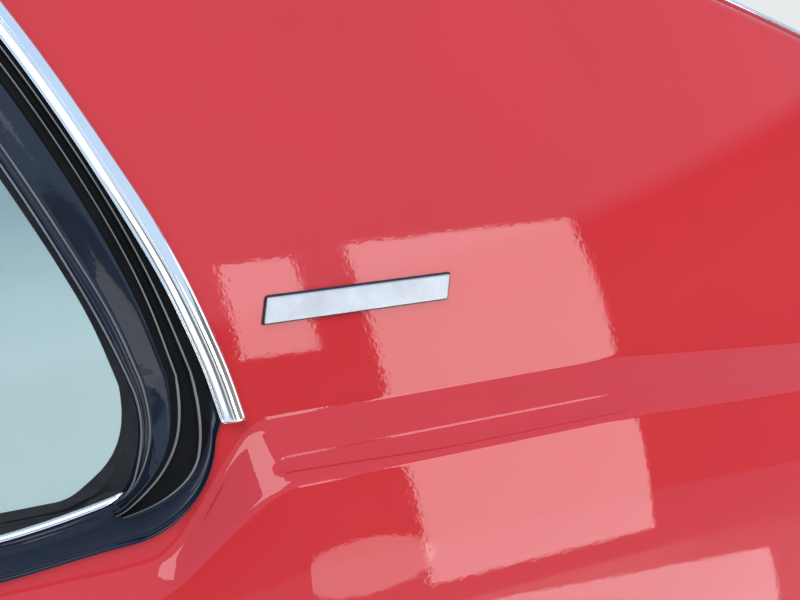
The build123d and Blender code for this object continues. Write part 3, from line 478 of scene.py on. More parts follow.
def trace(inset, counts=COUNTS, foot=None, radii=None, begin=-90.0):
    """Side view outline at an inset from the moulding's outer edge: x, z and direction of each column.

    It runs along the foot, round the low corner from the direction begin, up the rear arc, round the high
    corner, and along the top and down the front. inset may be a line's name, or differ between columns.
    """
    if isinstance(inset, str):
        inset = line_at(inset, trace(MIDDLE_IN, counts, begin=begin)[2])
    foot = foot_at(inset) if foot is None else foot
    low_r, high_r = radii if radii else ring_radii(inset)
    radius, top = REAR_R - inset, WINDOW_TOP - inset
    low_z, high_z = foot + low_r, top - high_r
    low_x = REAR_CX + np.sqrt((radius - low_r) ** 2 - (low_z - REAR_CZ) ** 2)
    high_x = REAR_CX + np.sqrt((radius - high_r) ** 2 - (high_z - REAR_CZ) ** 2)
    low_turn = np.arctan2(low_z - REAR_CZ, low_x - REAR_CX)
    high_turn = np.arctan2(high_z - REAR_CZ, high_x - REAR_CX)
    stretch = np.repeat(np.arange(len(counts)), counts)
    u = np.concatenate([np.linspace(0.0, 1.0, n, endpoint=n == counts[-1]) for n in counts])
    start, side = np.radians(begin), np.pi / 2
    low, rear = between(start, low_turn, u), between(low_turn, high_turn, u)
    high = between(high_turn, side, u)
    front_low, front_top = FRONT_LOW_X + inset, FRONT_TOP_X + inset
    x = np.choose(stretch, [
        between(front_low, low_x + low_r * np.cos(start), u), low_x + low_r * np.cos(low),
        REAR_CX + radius * np.cos(rear), high_x + high_r * np.cos(high), between(high_x, front_top, u),
        between(front_top, front_low, u)])
    z = np.choose(stretch, [
        foot + 0 * u, low_z + low_r * np.sin(low), REAR_CZ + radius * np.sin(rear),
        high_z + high_r * np.sin(high), top + 0 * u, between(top, foot, u)])
    turns = np.choose(stretch, [-side + 0 * u, low, rear, high, side + 0 * u, side + 0 * u])
    return x, z, np.degrees(turns)


def carried(lines, proud, columns=slice(None), wrap=False):
    """A closed profile carried along the window: each of its points has a line and a height proud.

    The profile runs so that its faces point outward, and its two ends are closed unless the strip wraps.
    """
    x = np.array([line[0][columns] for line in lines])
    z = np.array([line[1][columns] for line in lines])
    height = np.array([np.broadcast_to(h, len(lines[0][0]))[columns] for h in proud])
    faces = grid_faces(*x.shape, wrap_rows=True, wrap_cols=True).tolist() if wrap else strip_faces(*x.shape)
    return np.stack([x, side_y(z, height), z], -1).reshape(-1, 3), faces


def blend(a, b, share):
    """The line a share of the way from line a to line b."""
    return between(a[0], b[0], share), between(a[1], b[1], share)


def foot_rise(x, most):
    """How far the lines under the window have risen towards its corner: a power of the way along."""
    return most * np.clip(along(x, RISE_X), 0.0, RISE_LIMIT) ** RISE_POWER


def spread_foot(x, count):
    """The columns' x, with the count of them on the foot spread evenly from its start to the corner."""
    share = np.arange(len(x)) / count
    return np.where(share < 1.0, between(FRONT_LOW_X + FOOT_START, x[count], share), x)


# Finishes

NOISE_SPAN = (0.3, 0.7)   # between which a noise mostly lies


def new_material(name, base, metallic=0.0, roughness=0.5, coat=0.0, coat_roughness=0.03, specular=0.5):
    """A Principled material with its uniform values on the shader's own sockets."""
    material = bpy.data.materials.new(name)
    material.use_nodes = True
    shader = material.node_tree.nodes["Principled BSDF"]
    shader.inputs["Base Color"].default_value = (*base, 1.0)
    shader.inputs["Metallic"].default_value = metallic
    shader.inputs["Roughness"].default_value = roughness
    shader.inputs["Coat Weight"].default_value = coat
    shader.inputs["Coat Roughness"].default_value = coat_roughness
    shader.inputs["Specular IOR Level"].default_value = specular
    return material, material.node_tree, shader


def noise(tree, scale, detail=3.0, stretch=(1.0, 1.0, 1.0)):
    """Noise on the piece's own coordinates, in features of about 1 / scale metres."""
    place = tree.nodes.new("ShaderNodeTexCoord")
    turn = tree.nodes.new("ShaderNodeMapping")
    turn.inputs["Scale"].default_value = stretch
    pattern = tree.nodes.new("ShaderNodeTexNoise")
    pattern.inputs["Scale"].default_value = scale
    pattern.inputs["Detail"].default_value = detail
    pattern.inputs["Roughness"].default_value = 0.55
    tree.links.new(place.outputs["Object"], turn.inputs["Vector"])
    tree.links.new(turn.outputs["Vector"], pattern.inputs["Vector"])
    return pattern.outputs["Fac"]


def ramp(tree, value, stops):
    """A colour ramp through (place, colour) stops."""
    node = tree.nodes.new("ShaderNodeValToRGB")
    steps = node.color_ramp.elements
    for _ in range(len(stops) - 2):
        steps.new(0.5)
    for step, (place, colour) in zip(steps, stops):
        step.position = place
        step.color = (*colour, 1.0)
    tree.links.new(value, node.inputs["Fac"])
    return node.outputs["Color"]


def to_range(tree, value, low, high):
    """A noise's value, carried in proportion from the span where it mostly lies to low and high."""
    node = tree.nodes.new("ShaderNodeMapRange")
    ends = zip(("From Min", "From Max", "To Min", "To Max"), (*NOISE_SPAN, low, high))
    for name, number in ends:
        node.inputs[name].default_value = number
    tree.links.new(value, node.inputs["Value"])
    return node.outputs["Result"]


def bump(tree, height, strength, distance, sockets):
    """The height's slope tilts the normals that the sockets take."""
    node = tree.nodes.new("ShaderNodeBump")
    node.inputs["Strength"].default_value = strength
    node.inputs["Distance"].default_value = distance
    tree.links.new(height, node.inputs["Height"])
    for socket in sockets:
        tree.links.new(node.outputs["Normal"], socket)


def finish(name, base, shades, drift, gloss=None, relief=None, coat=0.0, **values):
    """A material whose colour drifts between two shades, and whose roughness and relief may follow noise.

    drift is the colour noise's scale and detail, gloss a noise with the lowest and highest roughness, and
    relief a noise with the bump's strength and distance. A coat takes the relief as well.
    """
    material, tree, shader = new_material(name, base, coat=coat, **values)
    colour = ramp(tree, noise(tree, *drift), list(zip(NOISE_SPAN, shades)))
    tree.links.new(colour, shader.inputs["Base Color"])
    if gloss:
        pattern, low, high = gloss
        tree.links.new(to_range(tree, noise(tree, *pattern), low, high), shader.inputs["Roughness"])
    if relief:
        pattern, strength, distance = relief
        sockets = [shader.inputs["Normal"]] + ([shader.inputs["Coat Normal"]] if coat else [])
        bump(tree, noise(tree, *pattern), strength, distance, sockets)
    return material


def paint(name, colour, coat, roughness, peel, spread=0.03, dust=0.0, specular=0.4):
    """Paint with a faint drift of shade, a little orange peel in its gloss and, inside, some dust."""
    shades = [tuple(part * change for part in colour) for change in (1 - spread, 1 + spread)]
    return finish(name, colour, shades, (6.0, 3.0), ((35.0, 3.0), roughness, roughness + 0.05 + dust),
                  ((260.0, 2.0), peel, 0.0002), coat, roughness=roughness, specular=specular)


def make_finishes():
    """Every finish of the part, by the name of the record's material or of the look that it gives."""
    finishes = {}

    # Body paint: gloss outside, and thinner and dustier on the inner panels
    finishes["body_paint"] = paint("red_gloss_paint", (0.545, 0.025, 0.030), 1.0, 0.35, 0.10, specular=0.0)
    finishes["body_paint_inner"] = paint(
        "red_inner_paint", (0.42, 0.022, 0.016), 0.25, 0.42, 0.25, spread=0.12, dust=0.15)

    # Underseal: a thick, rough black coat
    finishes["underseal"] = finish(
        "underseal", (0.02, 0.02, 0.021), ((0.014, 0.014, 0.015), (0.045, 0.043, 0.04)), (30.0, 6.0),
        relief=((420.0, 6.0), 0.9, 0.002), roughness=0.75)

    # Zinc plate of the fittings, slightly yellow
    finishes["zinc_steel"] = finish(
        "zinc_plate", (0.62, 0.58, 0.45), ((0.56, 0.54, 0.44), (0.72, 0.66, 0.48)), (40.0, 5.0),
        ((150.0, 3.0), 0.26, 0.45), ((500.0, 3.0), 0.15, 0.0004), metallic=1.0, roughness=0.35)

    # Black of the window frame and the badge's foot: glossy, black with a navy tint in its colour that is a
    # painted reflection of the blue sky
    finishes["black_enamel"] = finish(
        "black_enamel", (0.008, 0.012, 0.024), ((0.006, 0.010, 0.019), (0.010, 0.015, 0.029)), (20.0, 3.0),
        ((90.0, 5.0), 0.08, 0.20), ((180.0, 2.0), 0.12, 0.0003),
        coat=0.7, roughness=0.12, coat_roughness=0.02, specular=0.1)

    # Black of the band round the window: the same, less glossy, its navy tint likewise a painted reflection
    # of the sky
    finishes["satin_black"] = finish(
        "satin_black", (0.006, 0.011, 0.024), ((0.005, 0.009, 0.020), (0.008, 0.013, 0.028)), (20.0, 3.0),
        ((90.0, 5.0), 0.20, 0.32), coat=0.35, roughness=0.25, coat_roughness=0.05, specular=0.1)

    # Rubber: the seals and the duller strip of the window frame. Then a light grey on the crowns of the
    # frame's ridges and lips, which is a painted highlight along their rounded tops
    finishes["seal_rubber"] = finish(
        "seal_rubber", (0.010, 0.011, 0.012), ((0.007, 0.008, 0.009), (0.017, 0.018, 0.020)), (50.0, 5.0),
        ((120.0, 3.0), 0.42, 0.65), ((900.0, 3.0), 0.35, 0.0003), roughness=0.55, specular=0.2)
    finishes["dull_rubber"] = finish(
        "dull_rubber", (0.004, 0.004, 0.004), ((0.003, 0.003, 0.003), (0.006, 0.006, 0.006)), (50.0, 5.0),
        relief=((900.0, 3.0), 0.3, 0.0003), roughness=0.7, specular=0.1)
    # Painted highlight: the grey of the crowns along the frame's ridges and lips
    finishes["painted_highlight_edge"] = finish(
        "painted_highlight_edge", (0.16, 0.155, 0.15), ((0.10, 0.10, 0.10), (0.22, 0.21, 0.20)), (14.0, 4.0),
        ((160.0, 3.0), 0.35, 0.55), roughness=0.45, specular=0.3)

    # Bright metal: the polished mouldings, and the badge's plate with its upright brushing
    finishes["bright_strip"] = finish(
        "bright_strip", (0.86, 0.87, 0.88), ((0.82, 0.83, 0.84), (0.90, 0.90, 0.90)), (25.0, 3.0),
        ((70.0, 6.0), 0.03, 0.11), ((120.0, 2.0), 0.05, 0.0004), metallic=1.0, roughness=0.05)
    finishes["bright_plate"] = finish(
        "bright_plate", (0.52, 0.53, 0.55), ((0.47, 0.48, 0.50), (0.57, 0.58, 0.60)), (60.0, 3.0),
        ((200.0, 4.0, (1.0, 1.0, 14.0)), 0.42, 0.55), metallic=1.0, roughness=0.48)

    # Green-tinted window glass
    glass = finish(
        "window_glass", (0.52, 0.62, 0.57), ((0.50, 0.61, 0.56), (0.54, 0.64, 0.59)), (9.0, 3.0),
        roughness=0.0)
    shader = glass.node_tree.nodes["Principled BSDF"]
    shader.inputs["Transmission Weight"].default_value = 1.0
    shader.inputs["IOR"].default_value = 1.5
    finishes["window_glass"] = glass

    # Grained black plastic of the filler cap
    finishes["cap_plastic"] = finish(
        "cap_plastic", (0.02, 0.02, 0.021), ((0.016, 0.016, 0.017), (0.030, 0.030, 0.030)), (30.0, 4.0),
        ((80.0, 3.0), 0.42, 0.6), ((1500.0, 2.0), 0.5, 0.0003))
    return finishes


# Outer panel

def window_inside(x, z, inset):
    """Signed distance inside the window's outline at an inset: the least of its edges' and corners'."""
    low_r, high_r = ring_radii(inset)
    top, rear = WINDOW_TOP - inset - z, REAR_R - inset - np.hypot(x - REAR_CX, z - REAR_CZ)
    foot, front = z - foot_at(inset), x - (FRONT_LOW_X + inset + (z - FOOT_Z) * FRONT_LEAN)
    low = low_r - np.hypot(np.maximum(low_r - foot, 0.0), np.maximum(low_r - rear, 0.0))
    high = high_r - np.hypot(np.maximum(high_r - top, 0.0), np.maximum(high_r - rear, 0.0))
    return np.minimum.reduce([low, high, foot, top, rear, front])


def rounded_inside(x, z, x0, x1, z0, z1, r):
    """Signed distance inside a rounded rectangle: r less the distance from its inner rectangle."""
    dx, dz = np.maximum(x0 + r - x, x - x1 + r), np.maximum(z0 + r - z, z - z1 + r)
    return r - np.hypot(np.maximum(dx, 0.0), np.maximum(dz, 0.0)) - np.minimum(np.maximum(dx, dz), 0.0)


def flap_inside(x, z, grow):
    """Signed distance inside the flap's outline, grown all round."""
    x0, x1, z0, z1 = FLAP
    return rounded_inside(x, z, x0 - grow, x1 + grow, z0 - grow, z1 + grow, FLAP_R + grow)


def slot_inside(x, z):
    """Signed distance inside the hinge's slot in front of the flap: the least of its three free edges'."""
    half = 1.5 * KNUCKLE_L + 2 * SEAT + FLAP_GAP
    return np.minimum(np.minimum(x - FLAP[0] + HINGE_GAP, FLAP[0] + 1 - x), half - np.abs(z - HINGE_Z))


def quarter_roll(r, count):
    """A quarter circle that turns an edge inboard: its points' distances from the edge and from the face."""
    turn = np.linspace(0.0, np.pi / 2, count)
    return r * (1 - np.sin(turn)), r * (1 - np.cos(turn))


def panel_columns():
    """Places of the sections: x, and the shift inboard of the edges at the shut line and the tail."""
    edge_x, edge_in = quarter_roll(EDGE_ROLL, 6)
    runs = [np.arange(*run) for run in COLUMN_RUNS]
    lip = np.linspace(1.0, 0.0, 4)[:3]
    x = np.concatenate([[SHUT_X] * 3, SHUT_X + edge_x[::-1], *runs, TAIL_X - edge_x, [TAIL_X] * 3])
    inward = np.concatenate([
        EDGE_ROLL + (SHUT_LIP - EDGE_ROLL) * lip, edge_in[::-1], np.zeros(sum(map(len, runs))), edge_in,
        EDGE_ROLL + (TAIL_LIP - EDGE_ROLL) * lip[::-1]])
    return x, inward


def main_sheet():
    """The grid of sections, with its ends turned inboard, cut to the outline, the window, flap and slot."""
    x, inward = panel_columns()
    section = section_rows(x)
    y, z = section[..., 0] + inward, section[..., 1] - inward * DROP_SHARE
    x = np.broadcast_to(x, z.shape)
    arch = np.hypot(x - AXLE_X, z - AXLE_Z) - ARCH_R - ARCH_BAND
    low = np.where(x > AXLE_X, section[..., 1] - REAR_LOW_Z - EDGE_ROLL, FREE)
    keep = np.minimum.reduce([
        arch, low, -window_inside(x, z, OPENING_IN), -flap_inside(x, z, FLAP_GAP), -slot_inside(x, z)])
    return clipped_grid(np.stack([x, y, z], -1), keep)


def arch_edge():
    """The wheel arch's edge, a grid in radius and angle: a flat band, a quarter-round roll and a lip."""
    left, inboard = quarter_roll(ARCH_ROLL, 7)
    band = np.linspace(ARCH_BAND + SHEET_LAP, ARCH_ROLL, 4)[:3]
    radius = ARCH_R + np.concatenate([band, left, [0.0] * 3])
    shift = np.concatenate([[0.0] * 3, inboard, np.linspace(ARCH_ROLL, ARCH_LIP, 4)[1:]])
    start = np.arcsin((REAR_LOW_Z - AXLE_Z) / radius)[:, None]
    end = np.pi + np.arcsin((AXLE_Z - SIDE_LOW[1]) / radius)[:, None]
    angle = between(start, end, np.linspace(0.0, 1.0, 150))
    x, z = AXLE_X + radius[:, None] * np.cos(angle), AXLE_Z + radius[:, None] * np.sin(angle)
    return np.stack([x, surface_y(x, z) + shift[:, None], z], -1)


def low_edge():
    """The low edge behind the wheel, a grid in height and length: a quarter-round roll and a lip."""
    left, inboard = quarter_roll(EDGE_ROLL, 7)
    front = AXLE_X + np.sqrt((ARCH_R + ARCH_BAND) ** 2 - (REAR_LOW_Z - AXLE_Z) ** 2)
    height = REAR_LOW_Z + np.concatenate([[EDGE_ROLL + SHEET_LAP], left, [0.0] * 2])
    shift = np.concatenate([[0.0], inboard, [TAIL_LIP / 2, TAIL_LIP]])
    x, z = np.meshgrid(np.linspace(TAIL_X - 1.0, front, 80), height)
    return np.stack([x, surface_y(x, z) + shift[:, None], z], -1)


def close_ended(start, stop, count, margin=4.0):
    """Places from start to stop, with closer ones over a margin at both ends."""
    fine = np.linspace(0.0, margin, 7)[:-1]
    middle = np.linspace(start + margin, stop - margin, count)
    return np.concatenate([start + fine, middle, stop - fine[::-1]])


def flap_sheet():
    """The flap's sheet: the panel's own surface within the flap's outline, its edge slightly rolled."""
    x, z = np.meshgrid(close_ended(*FLAP[:2], 38), close_ended(*FLAP[2:], 36))
    inside = flap_inside(x, z, 0.0)
    y = surface_y(x, z) + roll(np.maximum(inside, 0.0), FLAP_ROLL)
    return clipped_grid(np.stack([x, y, z], -1), inside)


def tube(x, y, z0, z1, r, chamfer=0.5, count=32):
    """An upright pin or barrel: circles of the radius, drawn in by a chamfer at both ends and closed."""
    angle = np.linspace(0.0, 2 * np.pi, count, endpoint=False)
    radius = np.array([r - chamfer, r, r, r - chamfer])[:, None]
    height = np.array([z0, z0 + chamfer, z1 - chamfer, z1])[:, None]
    points = np.stack([x + radius * np.cos(angle), y + radius * np.sin(angle), height + 0 * angle], -1)
    return points.reshape(-1, 3), ring_faces(4, count)


def add_panel(finishes):
    """The outer panel: its main sheet and the grids of its two turned edges, with the sheet's thickness."""
    edges = [(grid.reshape(-1, 3), grid_faces(*grid.shape[:2])) for grid in (arch_edge(), low_edge())]
    add_piece("outer_panel", *joined(main_sheet(), *edges), finishes["body_paint"], slot="body_paint",
              nodes=["quarter_panel"], thickness=SKIN)


def add_flap(finishes):
    """The flap, with the hinge's leaf on its inner side and the middle knuckle round the joint's axis."""
    add_piece("filler_flap", *flap_sheet(), finishes["body_paint"], FLAP_BODY, "body_paint", ["fuel_flap"],
              SKIN)
    axis_y = float(surface_y(np.array(HINGE_X), np.array(HINGE_Z))) + KNUCKLE_R * HINGE_AT
    low, high = HINGE_Z - KNUCKLE_L / 2, HINGE_Z + KNUCKLE_L / 2
    add_piece("flap_knuckle", *tube(HINGE_X, axis_y, low, high, KNUCKLE_R), finishes["zinc_steel"],
              FLAP_BODY, "zinc_steel")
    x, z = np.meshgrid(np.linspace(HINGE_X + 1, FLAP[0] + LEAF_LAP, 12), np.linspace(low, high, 8))
    leaf = np.stack([x, surface_y(x, z) + SKIN + LEAF_GAP, z], -1)
    add_piece("flap_leaf", leaf.reshape(-1, 3), grid_faces(*x.shape), finishes["zinc_steel"], FLAP_BODY,
              "zinc_steel", thickness=LEAF_T)


# Window trim

def add_moulding(finishes):
    """Bright moulding: a convex outer half, a fine line, a half that leans inward and a beaded inner edge.

    Its low end is drawn in by a quarter circle, in width and in height.
    """
    counts = (0, 0, 260, 24, 90, 2)
    _, z, turn = trace(0.0, counts, MOULDING_END_Z, (0.0, UPPER_R))
    outer = smoothed(turn, MOULDING_TURNS, MOULDING_OUT, 0.8)
    inner = smoothed(turn, MOULDING_TURNS, MOULDING_IN, 0.8)
    full = np.sqrt(1.0 - np.clip(1.0 - (z - MOULDING_END_Z) / END_H, 0.0, 1.0) ** 2)
    width, height = between(END_WIDTH, 1.0, full), between(0.5, 1.0, full)
    lines, heights = [], []
    for share, proud in MOULDING_PROFILE:
        inset = between(outer, inner, 0.5 + (share - 0.5) * width)
        lines.append(trace(inset, counts, MOULDING_END_Z, (0.0, UPPER_R - inset)))
        heights.append(TRIM_FOOT + (proud - TRIM_FOOT) * height)
    end = int((lines[0][0] > MOULDING_FRONT_X).sum())
    add_piece("bright_moulding", *carried(lines, heights, slice(0, end)), finishes["bright_strip"],
              slot="bright_strip", nodes=["drip_moulding"])


def frame_profiles(turn):
    """Closed cross sections of the frame: the inset of each point at every column, and its height proud.

    They are the dull channelled strip, the glossy reveal down to its double lip, and four crowns in a grey
    that is painted highlight, each low over the ridge, the second ridge, the reveal's foot or the lip. The
    ridges part towards the low corner, and everything is pinched together towards the point beside the
    bright bead.
    """
    pinch = np.clip(along(turn, PINCH_TURN), 0.3, 1.0)
    girth = pinch * between(0.8, 0.42, ease(along(turn, SLIM_TURN)))
    step = girth + 0.7 * pinch
    names = ("edge", "ridge", "second", "brow", "reveal", "lip")
    edge, ridge, second, brow, reveal, lip = (line_at(name, turn) for name in names)
    channel, slope = (ridge + step, second - step), (second + step, brow)
    wall, trough = (brow, reveal), (reveal, lip)
    strip = [
        (edge, TRIM_FOOT), (edge, 2.6), (edge + 0.5 * pinch, 3.5), (ridge - step, 3.6),
        (ridge - girth, 6.4), (ridge + girth, 6.4), (channel[0], 3.8), (between(*channel, 0.25), 2.8),
        (between(*channel, 0.75), 2.8), (channel[1], 3.8), (second - girth, 5.9), (second + girth, 5.9),
        (slope[0], 4.3), (between(*slope, 0.6), 3.5), (brow, 3.0), (brow, TRIM_FOOT),
    ]
    glossy = [
        (brow - 0.3 * pinch, TRIM_FOOT), (brow - 0.3 * pinch, 2.7), (brow + 0.3 * pinch, 2.9),
        (between(*wall, 0.15), 1.9), (between(*wall, 0.5), -1.4), (between(*wall, 0.85), -4.8),
        (reveal - 0.8 * pinch, -5.7), (reveal - 0.4 * pinch, -5.1), (reveal + 0.4 * pinch, -5.1),
        (between(*trough, 0.16), -6.4), (between(*trough, 0.30), -5.7), (between(*trough, 0.38), -5.7),
        (between(*trough, 0.50), -6.8), (between(*trough, 0.74), -6.7), (between(*trough, 0.86), -5.2),
        (lip - 0.3 * pinch, -4.5), (lip + 0.4 * pinch, -4.5), (lip + 1.0 * pinch, -5.4),
        (lip + 1.6 * pinch, -7.6), (28.0, -7.6), (27.5, TRIM_FOOT),
    ]
    # The crowns that carry the painted highlight: their middle line, lowest and highest height, and half
    # width
    highlight_crowns = ((ridge, 6.1, 6.9, girth), (second, 5.6, 6.4, girth), (reveal, -5.4, -4.8, 0.5 * pinch),
            (lip, -4.9, -4.2, 0.6 * pinch))
    edges = [[
        (middle - half, low), (middle - half, low + 0.4), (middle - 0.5 * half, high),
        (middle + 0.5 * half, high), (middle + half, low + 0.4), (middle + half, low),
    ] for middle, low, high, half in highlight_crowns]
    return [strip, glossy] + edges


def add_frame(finishes):
    """Black frame: strip, reveal and crowns of painted highlight, carried round from the point to the front.

    The run down the front is stretched so that it ends on the bright bead.
    """
    counts = (0,) + COUNTS[1:]
    meshes = []
    for profile in frame_profiles(trace(MIDDLE_IN, counts, begin=FRAME_BEGIN)[2]):
        lines = [trace(inset, counts, begin=FRAME_BEGIN) for inset, _ in profile]
        for _, z, _ in lines:
            front = z[-COUNTS[-1]:]
            front[:] = np.interp(front, (front[-1], front[0]), (BEAD_TOP_Z, front[0]))
        meshes.append(carried(lines, [proud for _, proud in profile]))
    add_piece("window_frame_strip", *meshes[0], finishes["dull_rubber"], slot="black_enamel")
    add_piece("window_frame_trim", *meshes[1], finishes["black_enamel"], slot="black_enamel",
              nodes=["window_frame"])
    # The crowns take the grey of painted highlight
    add_piece("window_frame_edges", *joined(*meshes[2:]), finishes["painted_highlight_edge"], slot="black_enamel")


def add_surround(finishes):
    """Black band under the window and round its corner: rounded lip, groove, and a double inner edge."""
    counts = (70, 44, 90)
    turn = trace(MIDDLE_IN, counts)[2]
    on_foot = np.arange(sum(counts)) < counts[0]
    inset = between(*SURROUND_IN, ease(along(turn, SURROUND_TURN)))
    x, z, _ = trace(inset, counts, SURROUND_FOOT_Z, (SURROUND_CORNER_R, UPPER_R))
    x = spread_foot(x, counts[0])
    outer = (x, z - np.where(on_foot, SURROUND_FALL * before(x, SURROUND_FALL_X), 0.0))
    x, z, _ = trace(line_at("edge", turn) + TRIM_GAP, counts)
    x = spread_foot(x, counts[0])
    level = FOOT_Z + SURROUND_W + TRIM_GAP + foot_rise(x, SURROUND_RISE) * before(x, SURROUND_LEAVE_X)
    inner = (x, np.where(x < SURROUND_LEAVE_X[1], np.maximum(level, z), z))
    fade = np.where(on_foot, before(x, SURROUND_FADE_X), 0.0)
    lines, heights = [], []
    for share, proud in SURROUND_PROFILE:
        lines.append(blend(outer, inner, share))
        heights.append(between(min(proud, SURROUND_FLAT), proud, fade) if share > 0.5 else proud)
    end = int((inner[1] < SURROUND_END_Z).sum())
    add_piece("window_surround_trim", *carried(lines, heights, slice(0, end)), finishes["satin_black"],
              slot="black_enamel", nodes=["window_surround"])


def add_bead(finishes):
    """Bright bead along the window's foot, rising a little to its thin end under the frame's point."""
    x = np.linspace(FRONT_LOW_X + FOOT_START + TRIM_GAP, BEAD_THIN_X[1], 120)
    top = FOOT_Z + SURROUND_W + SEAT + foot_rise(x, BEAD_RISE) + BEAD_H
    thin = 1.0 - 0.75 * np.clip(along(x, BEAD_THIN_X), 0.0, 1.0) ** 2
    lines = [(x, top + (up - BEAD_H) * thin) for up, _ in BEAD_PROFILE]
    heights = [TRIM_FOOT + (proud - TRIM_FOOT) * thin for _, proud in BEAD_PROFILE]
    add_piece("bright_bead", *carried(lines, heights), finishes["bright_strip"], slot="bright_strip",
              nodes=["lower_bead"])


def add_gasket(finishes):
    """Rubber between frame and glass, wide at the low corner, that covers the foot up from the bead."""
    inner = trace("clear")
    turn = trace(MIDDLE_IN, begin=GASKET_BEGIN)[2]
    x, z, _ = trace(line_at("lip", turn) + 1.2, begin=GASKET_BEGIN)
    count = COUNTS[0]
    foot_x = np.linspace(FRONT_LOW_X + OPENING_IN + 1.0, x[count], count, endpoint=False)
    beside = np.clip(foot_x - GASKET_ARC_X, 0.0, GASKET_ARC_R)
    arc_z = GASKET_ARC_Z + GASKET_ARC_R - np.sqrt(GASKET_ARC_R**2 - beside**2)
    foot_z = between(GASKET_FOOT_Z, arc_z, ease(along(foot_x, GASKET_TURN_X)))
    outer = (np.concatenate([foot_x, x[count:]]), np.concatenate([foot_z, z[count:]]))
    height = between(-1.2, -5.8, ease(along(turn, GASKET_TURN)))
    profile = [
        (0.0, -7.9), (0.0, height), (0.10, height), (0.30, between(height, -7.0, 0.75)), (0.42, -6.9),
        (0.47, -6.2), (0.52, -6.2), (0.58, -7.0), (0.96, -7.3), (1.0, -7.5), (1.0, -7.9),
    ]
    lines = [blend(outer, inner, share) for share, _ in profile]
    add_piece("glass_rubber", *carried(lines, [proud for _, proud in profile], wrap=True),
              finishes["seal_rubber"], slot="seal_rubber", nodes=["glass_gasket"])


# Hatch edge and badge

HATCH_PROFILES = {   # insets inboard of the land's end, and heights over it
    "hatch_seal_cover": ((18.6, -1.6), (17.4, -1.6), (16.9, 2.0), (17.1, 6.0), (18.0, 9.0), (18.6, 9.2)),
    "hatch_strip": ((18.5, 8.0), (17.7, 8.8), (18.3, 10.4), (20.0, 11.9), (21.8, 12.2), (21.8, 11.0)),
}
HATCH_TRIM_X = (531.0, TAIL_X - 9.0)
BADGE_CORNER_R = 1.6


def add_hatch_edge(finishes):
    """Painted cover on the outboard side of the hatch seal, and a bright strip over the seal's shoulder."""
    x = np.linspace(*HATCH_TRIM_X, 180)
    y, z = key_points(x)["land_end"]
    for name, finish_name in (("hatch_seal_cover", "body_paint"), ("hatch_strip", "bright_strip")):
        rows = np.array([np.stack([x, y + dy, z + dz], -1) for dy, dz in HATCH_PROFILES[name]])
        add_piece(name, rows.reshape(-1, 3), strip_faces(*rows.shape[:2]), finishes[finish_name],
                  slot=finish_name)


def badge_ring(inset, proud):
    """The badge's outline at an inset: a quarter circle at each corner, leaning aft with its height."""
    x0, x1 = BADGE_X + inset, BADGE_X + BADGE_LENGTH - inset
    z0, z1 = BADGE_Z[0] + inset, BADGE_Z[1] - inset
    r = BADGE_CORNER_R - inset * 0.5
    centres = np.array([(x1 - r, z0 + r), (x1 - r, z1 - r), (x0 + r, z1 - r), (x0 + r, z0 + r)])
    angle = np.radians(np.array([-90.0, 0.0, 90.0, 180.0])[:, None] + np.linspace(0.0, 90.0, 7))
    x, z = (centres[:, :1] + r * np.cos(angle)).ravel(), (centres[:, 1:] + r * np.sin(angle)).ravel()
    return np.stack([x + along(z, BADGE_Z) * BADGE_LEAN, side_y(z, proud), z], -1)[::-1]


def add_badge(finishes):
    """Blank badge: a leaning plate with a dark foot and a bright face with a chamfered edge."""
    for name, shrink, low, high, finish_name, nodes in (
            ("badge_foot", 0.0, 0.35, 1.7, "black_enamel", ()),
            ("badge_face", 0.9, 1.7, 2.9, "bright_plate", ("badge_blank",))):
        profile = ((shrink, low), (shrink, high - 0.3), (shrink + 0.3, high), (shrink + 0.9, high))
        rings = np.array([badge_ring(inset, proud) for inset, proud in profile])
        add_piece(name, rings.reshape(-1, 3), ring_faces(*rings.shape[:2]), finishes[finish_name],
                  slot="bright_plate", nodes=nodes)


# Solid pieces that stay as they are, and their finishes

NODE_FINISHES = {
    "sill_end": "body_paint", "wheelhouse_outer": "underseal", "lock_pillar": "body_paint_inner",
    "inner_quarter_panel": "body_paint_inner", "belt_rail": "body_paint_inner",
    "sail_inner": "body_paint_inner", "roof_side_rail": "body_paint_inner", "belt_anchor": "zinc_steel",
    "quarter_glass": "window_glass", "hatch_gutter": "body_paint_inner", "hatch_seal": "seal_rubber",
    "fuel_pocket": "body_paint_inner", "fuel_hinge": "zinc_steel", "fuel_hinge_pin": "zinc_steel",
    "fuel_neck": "zinc_steel", "fuel_cap": "cap_plastic",
}


def finish_nodes(finishes):
    """Each of these solids takes its finish in every slot."""
    for name, finish_name in NODE_FINISHES.items():
        for place in frame["nodes"][name].material_slots:
            place.material = finishes[finish_name]


# Studio, with sizes and places in metres

ROOM_SHADES = (   # the room's colour by how high a ray looks, from the walls up to the ceiling
    (0.0, (0.30, 0.29, 0.28)), (0.17, (0.14, 0.14, 0.14)), (0.21, (0.66, 0.84, 1.08)),
    (1.0, (0.56, 0.78, 1.08)),
)
BEHIND = (0.80, 0.83, 0.84, 1.0)    # plain colour that the camera sees behind the part
FLOOR_X, FLOOR_RINGS, FLOOR_GAP = 0.5, (0.001, 2.0, 9.0), 0.0005
YAW, PITCH = 25.2, -17.2            # degrees by which the camera looks aft of square on, and up
EYE, LENS, FILM_W = (0.3272, -0.6615, 1.0009), 49.5, 36.0


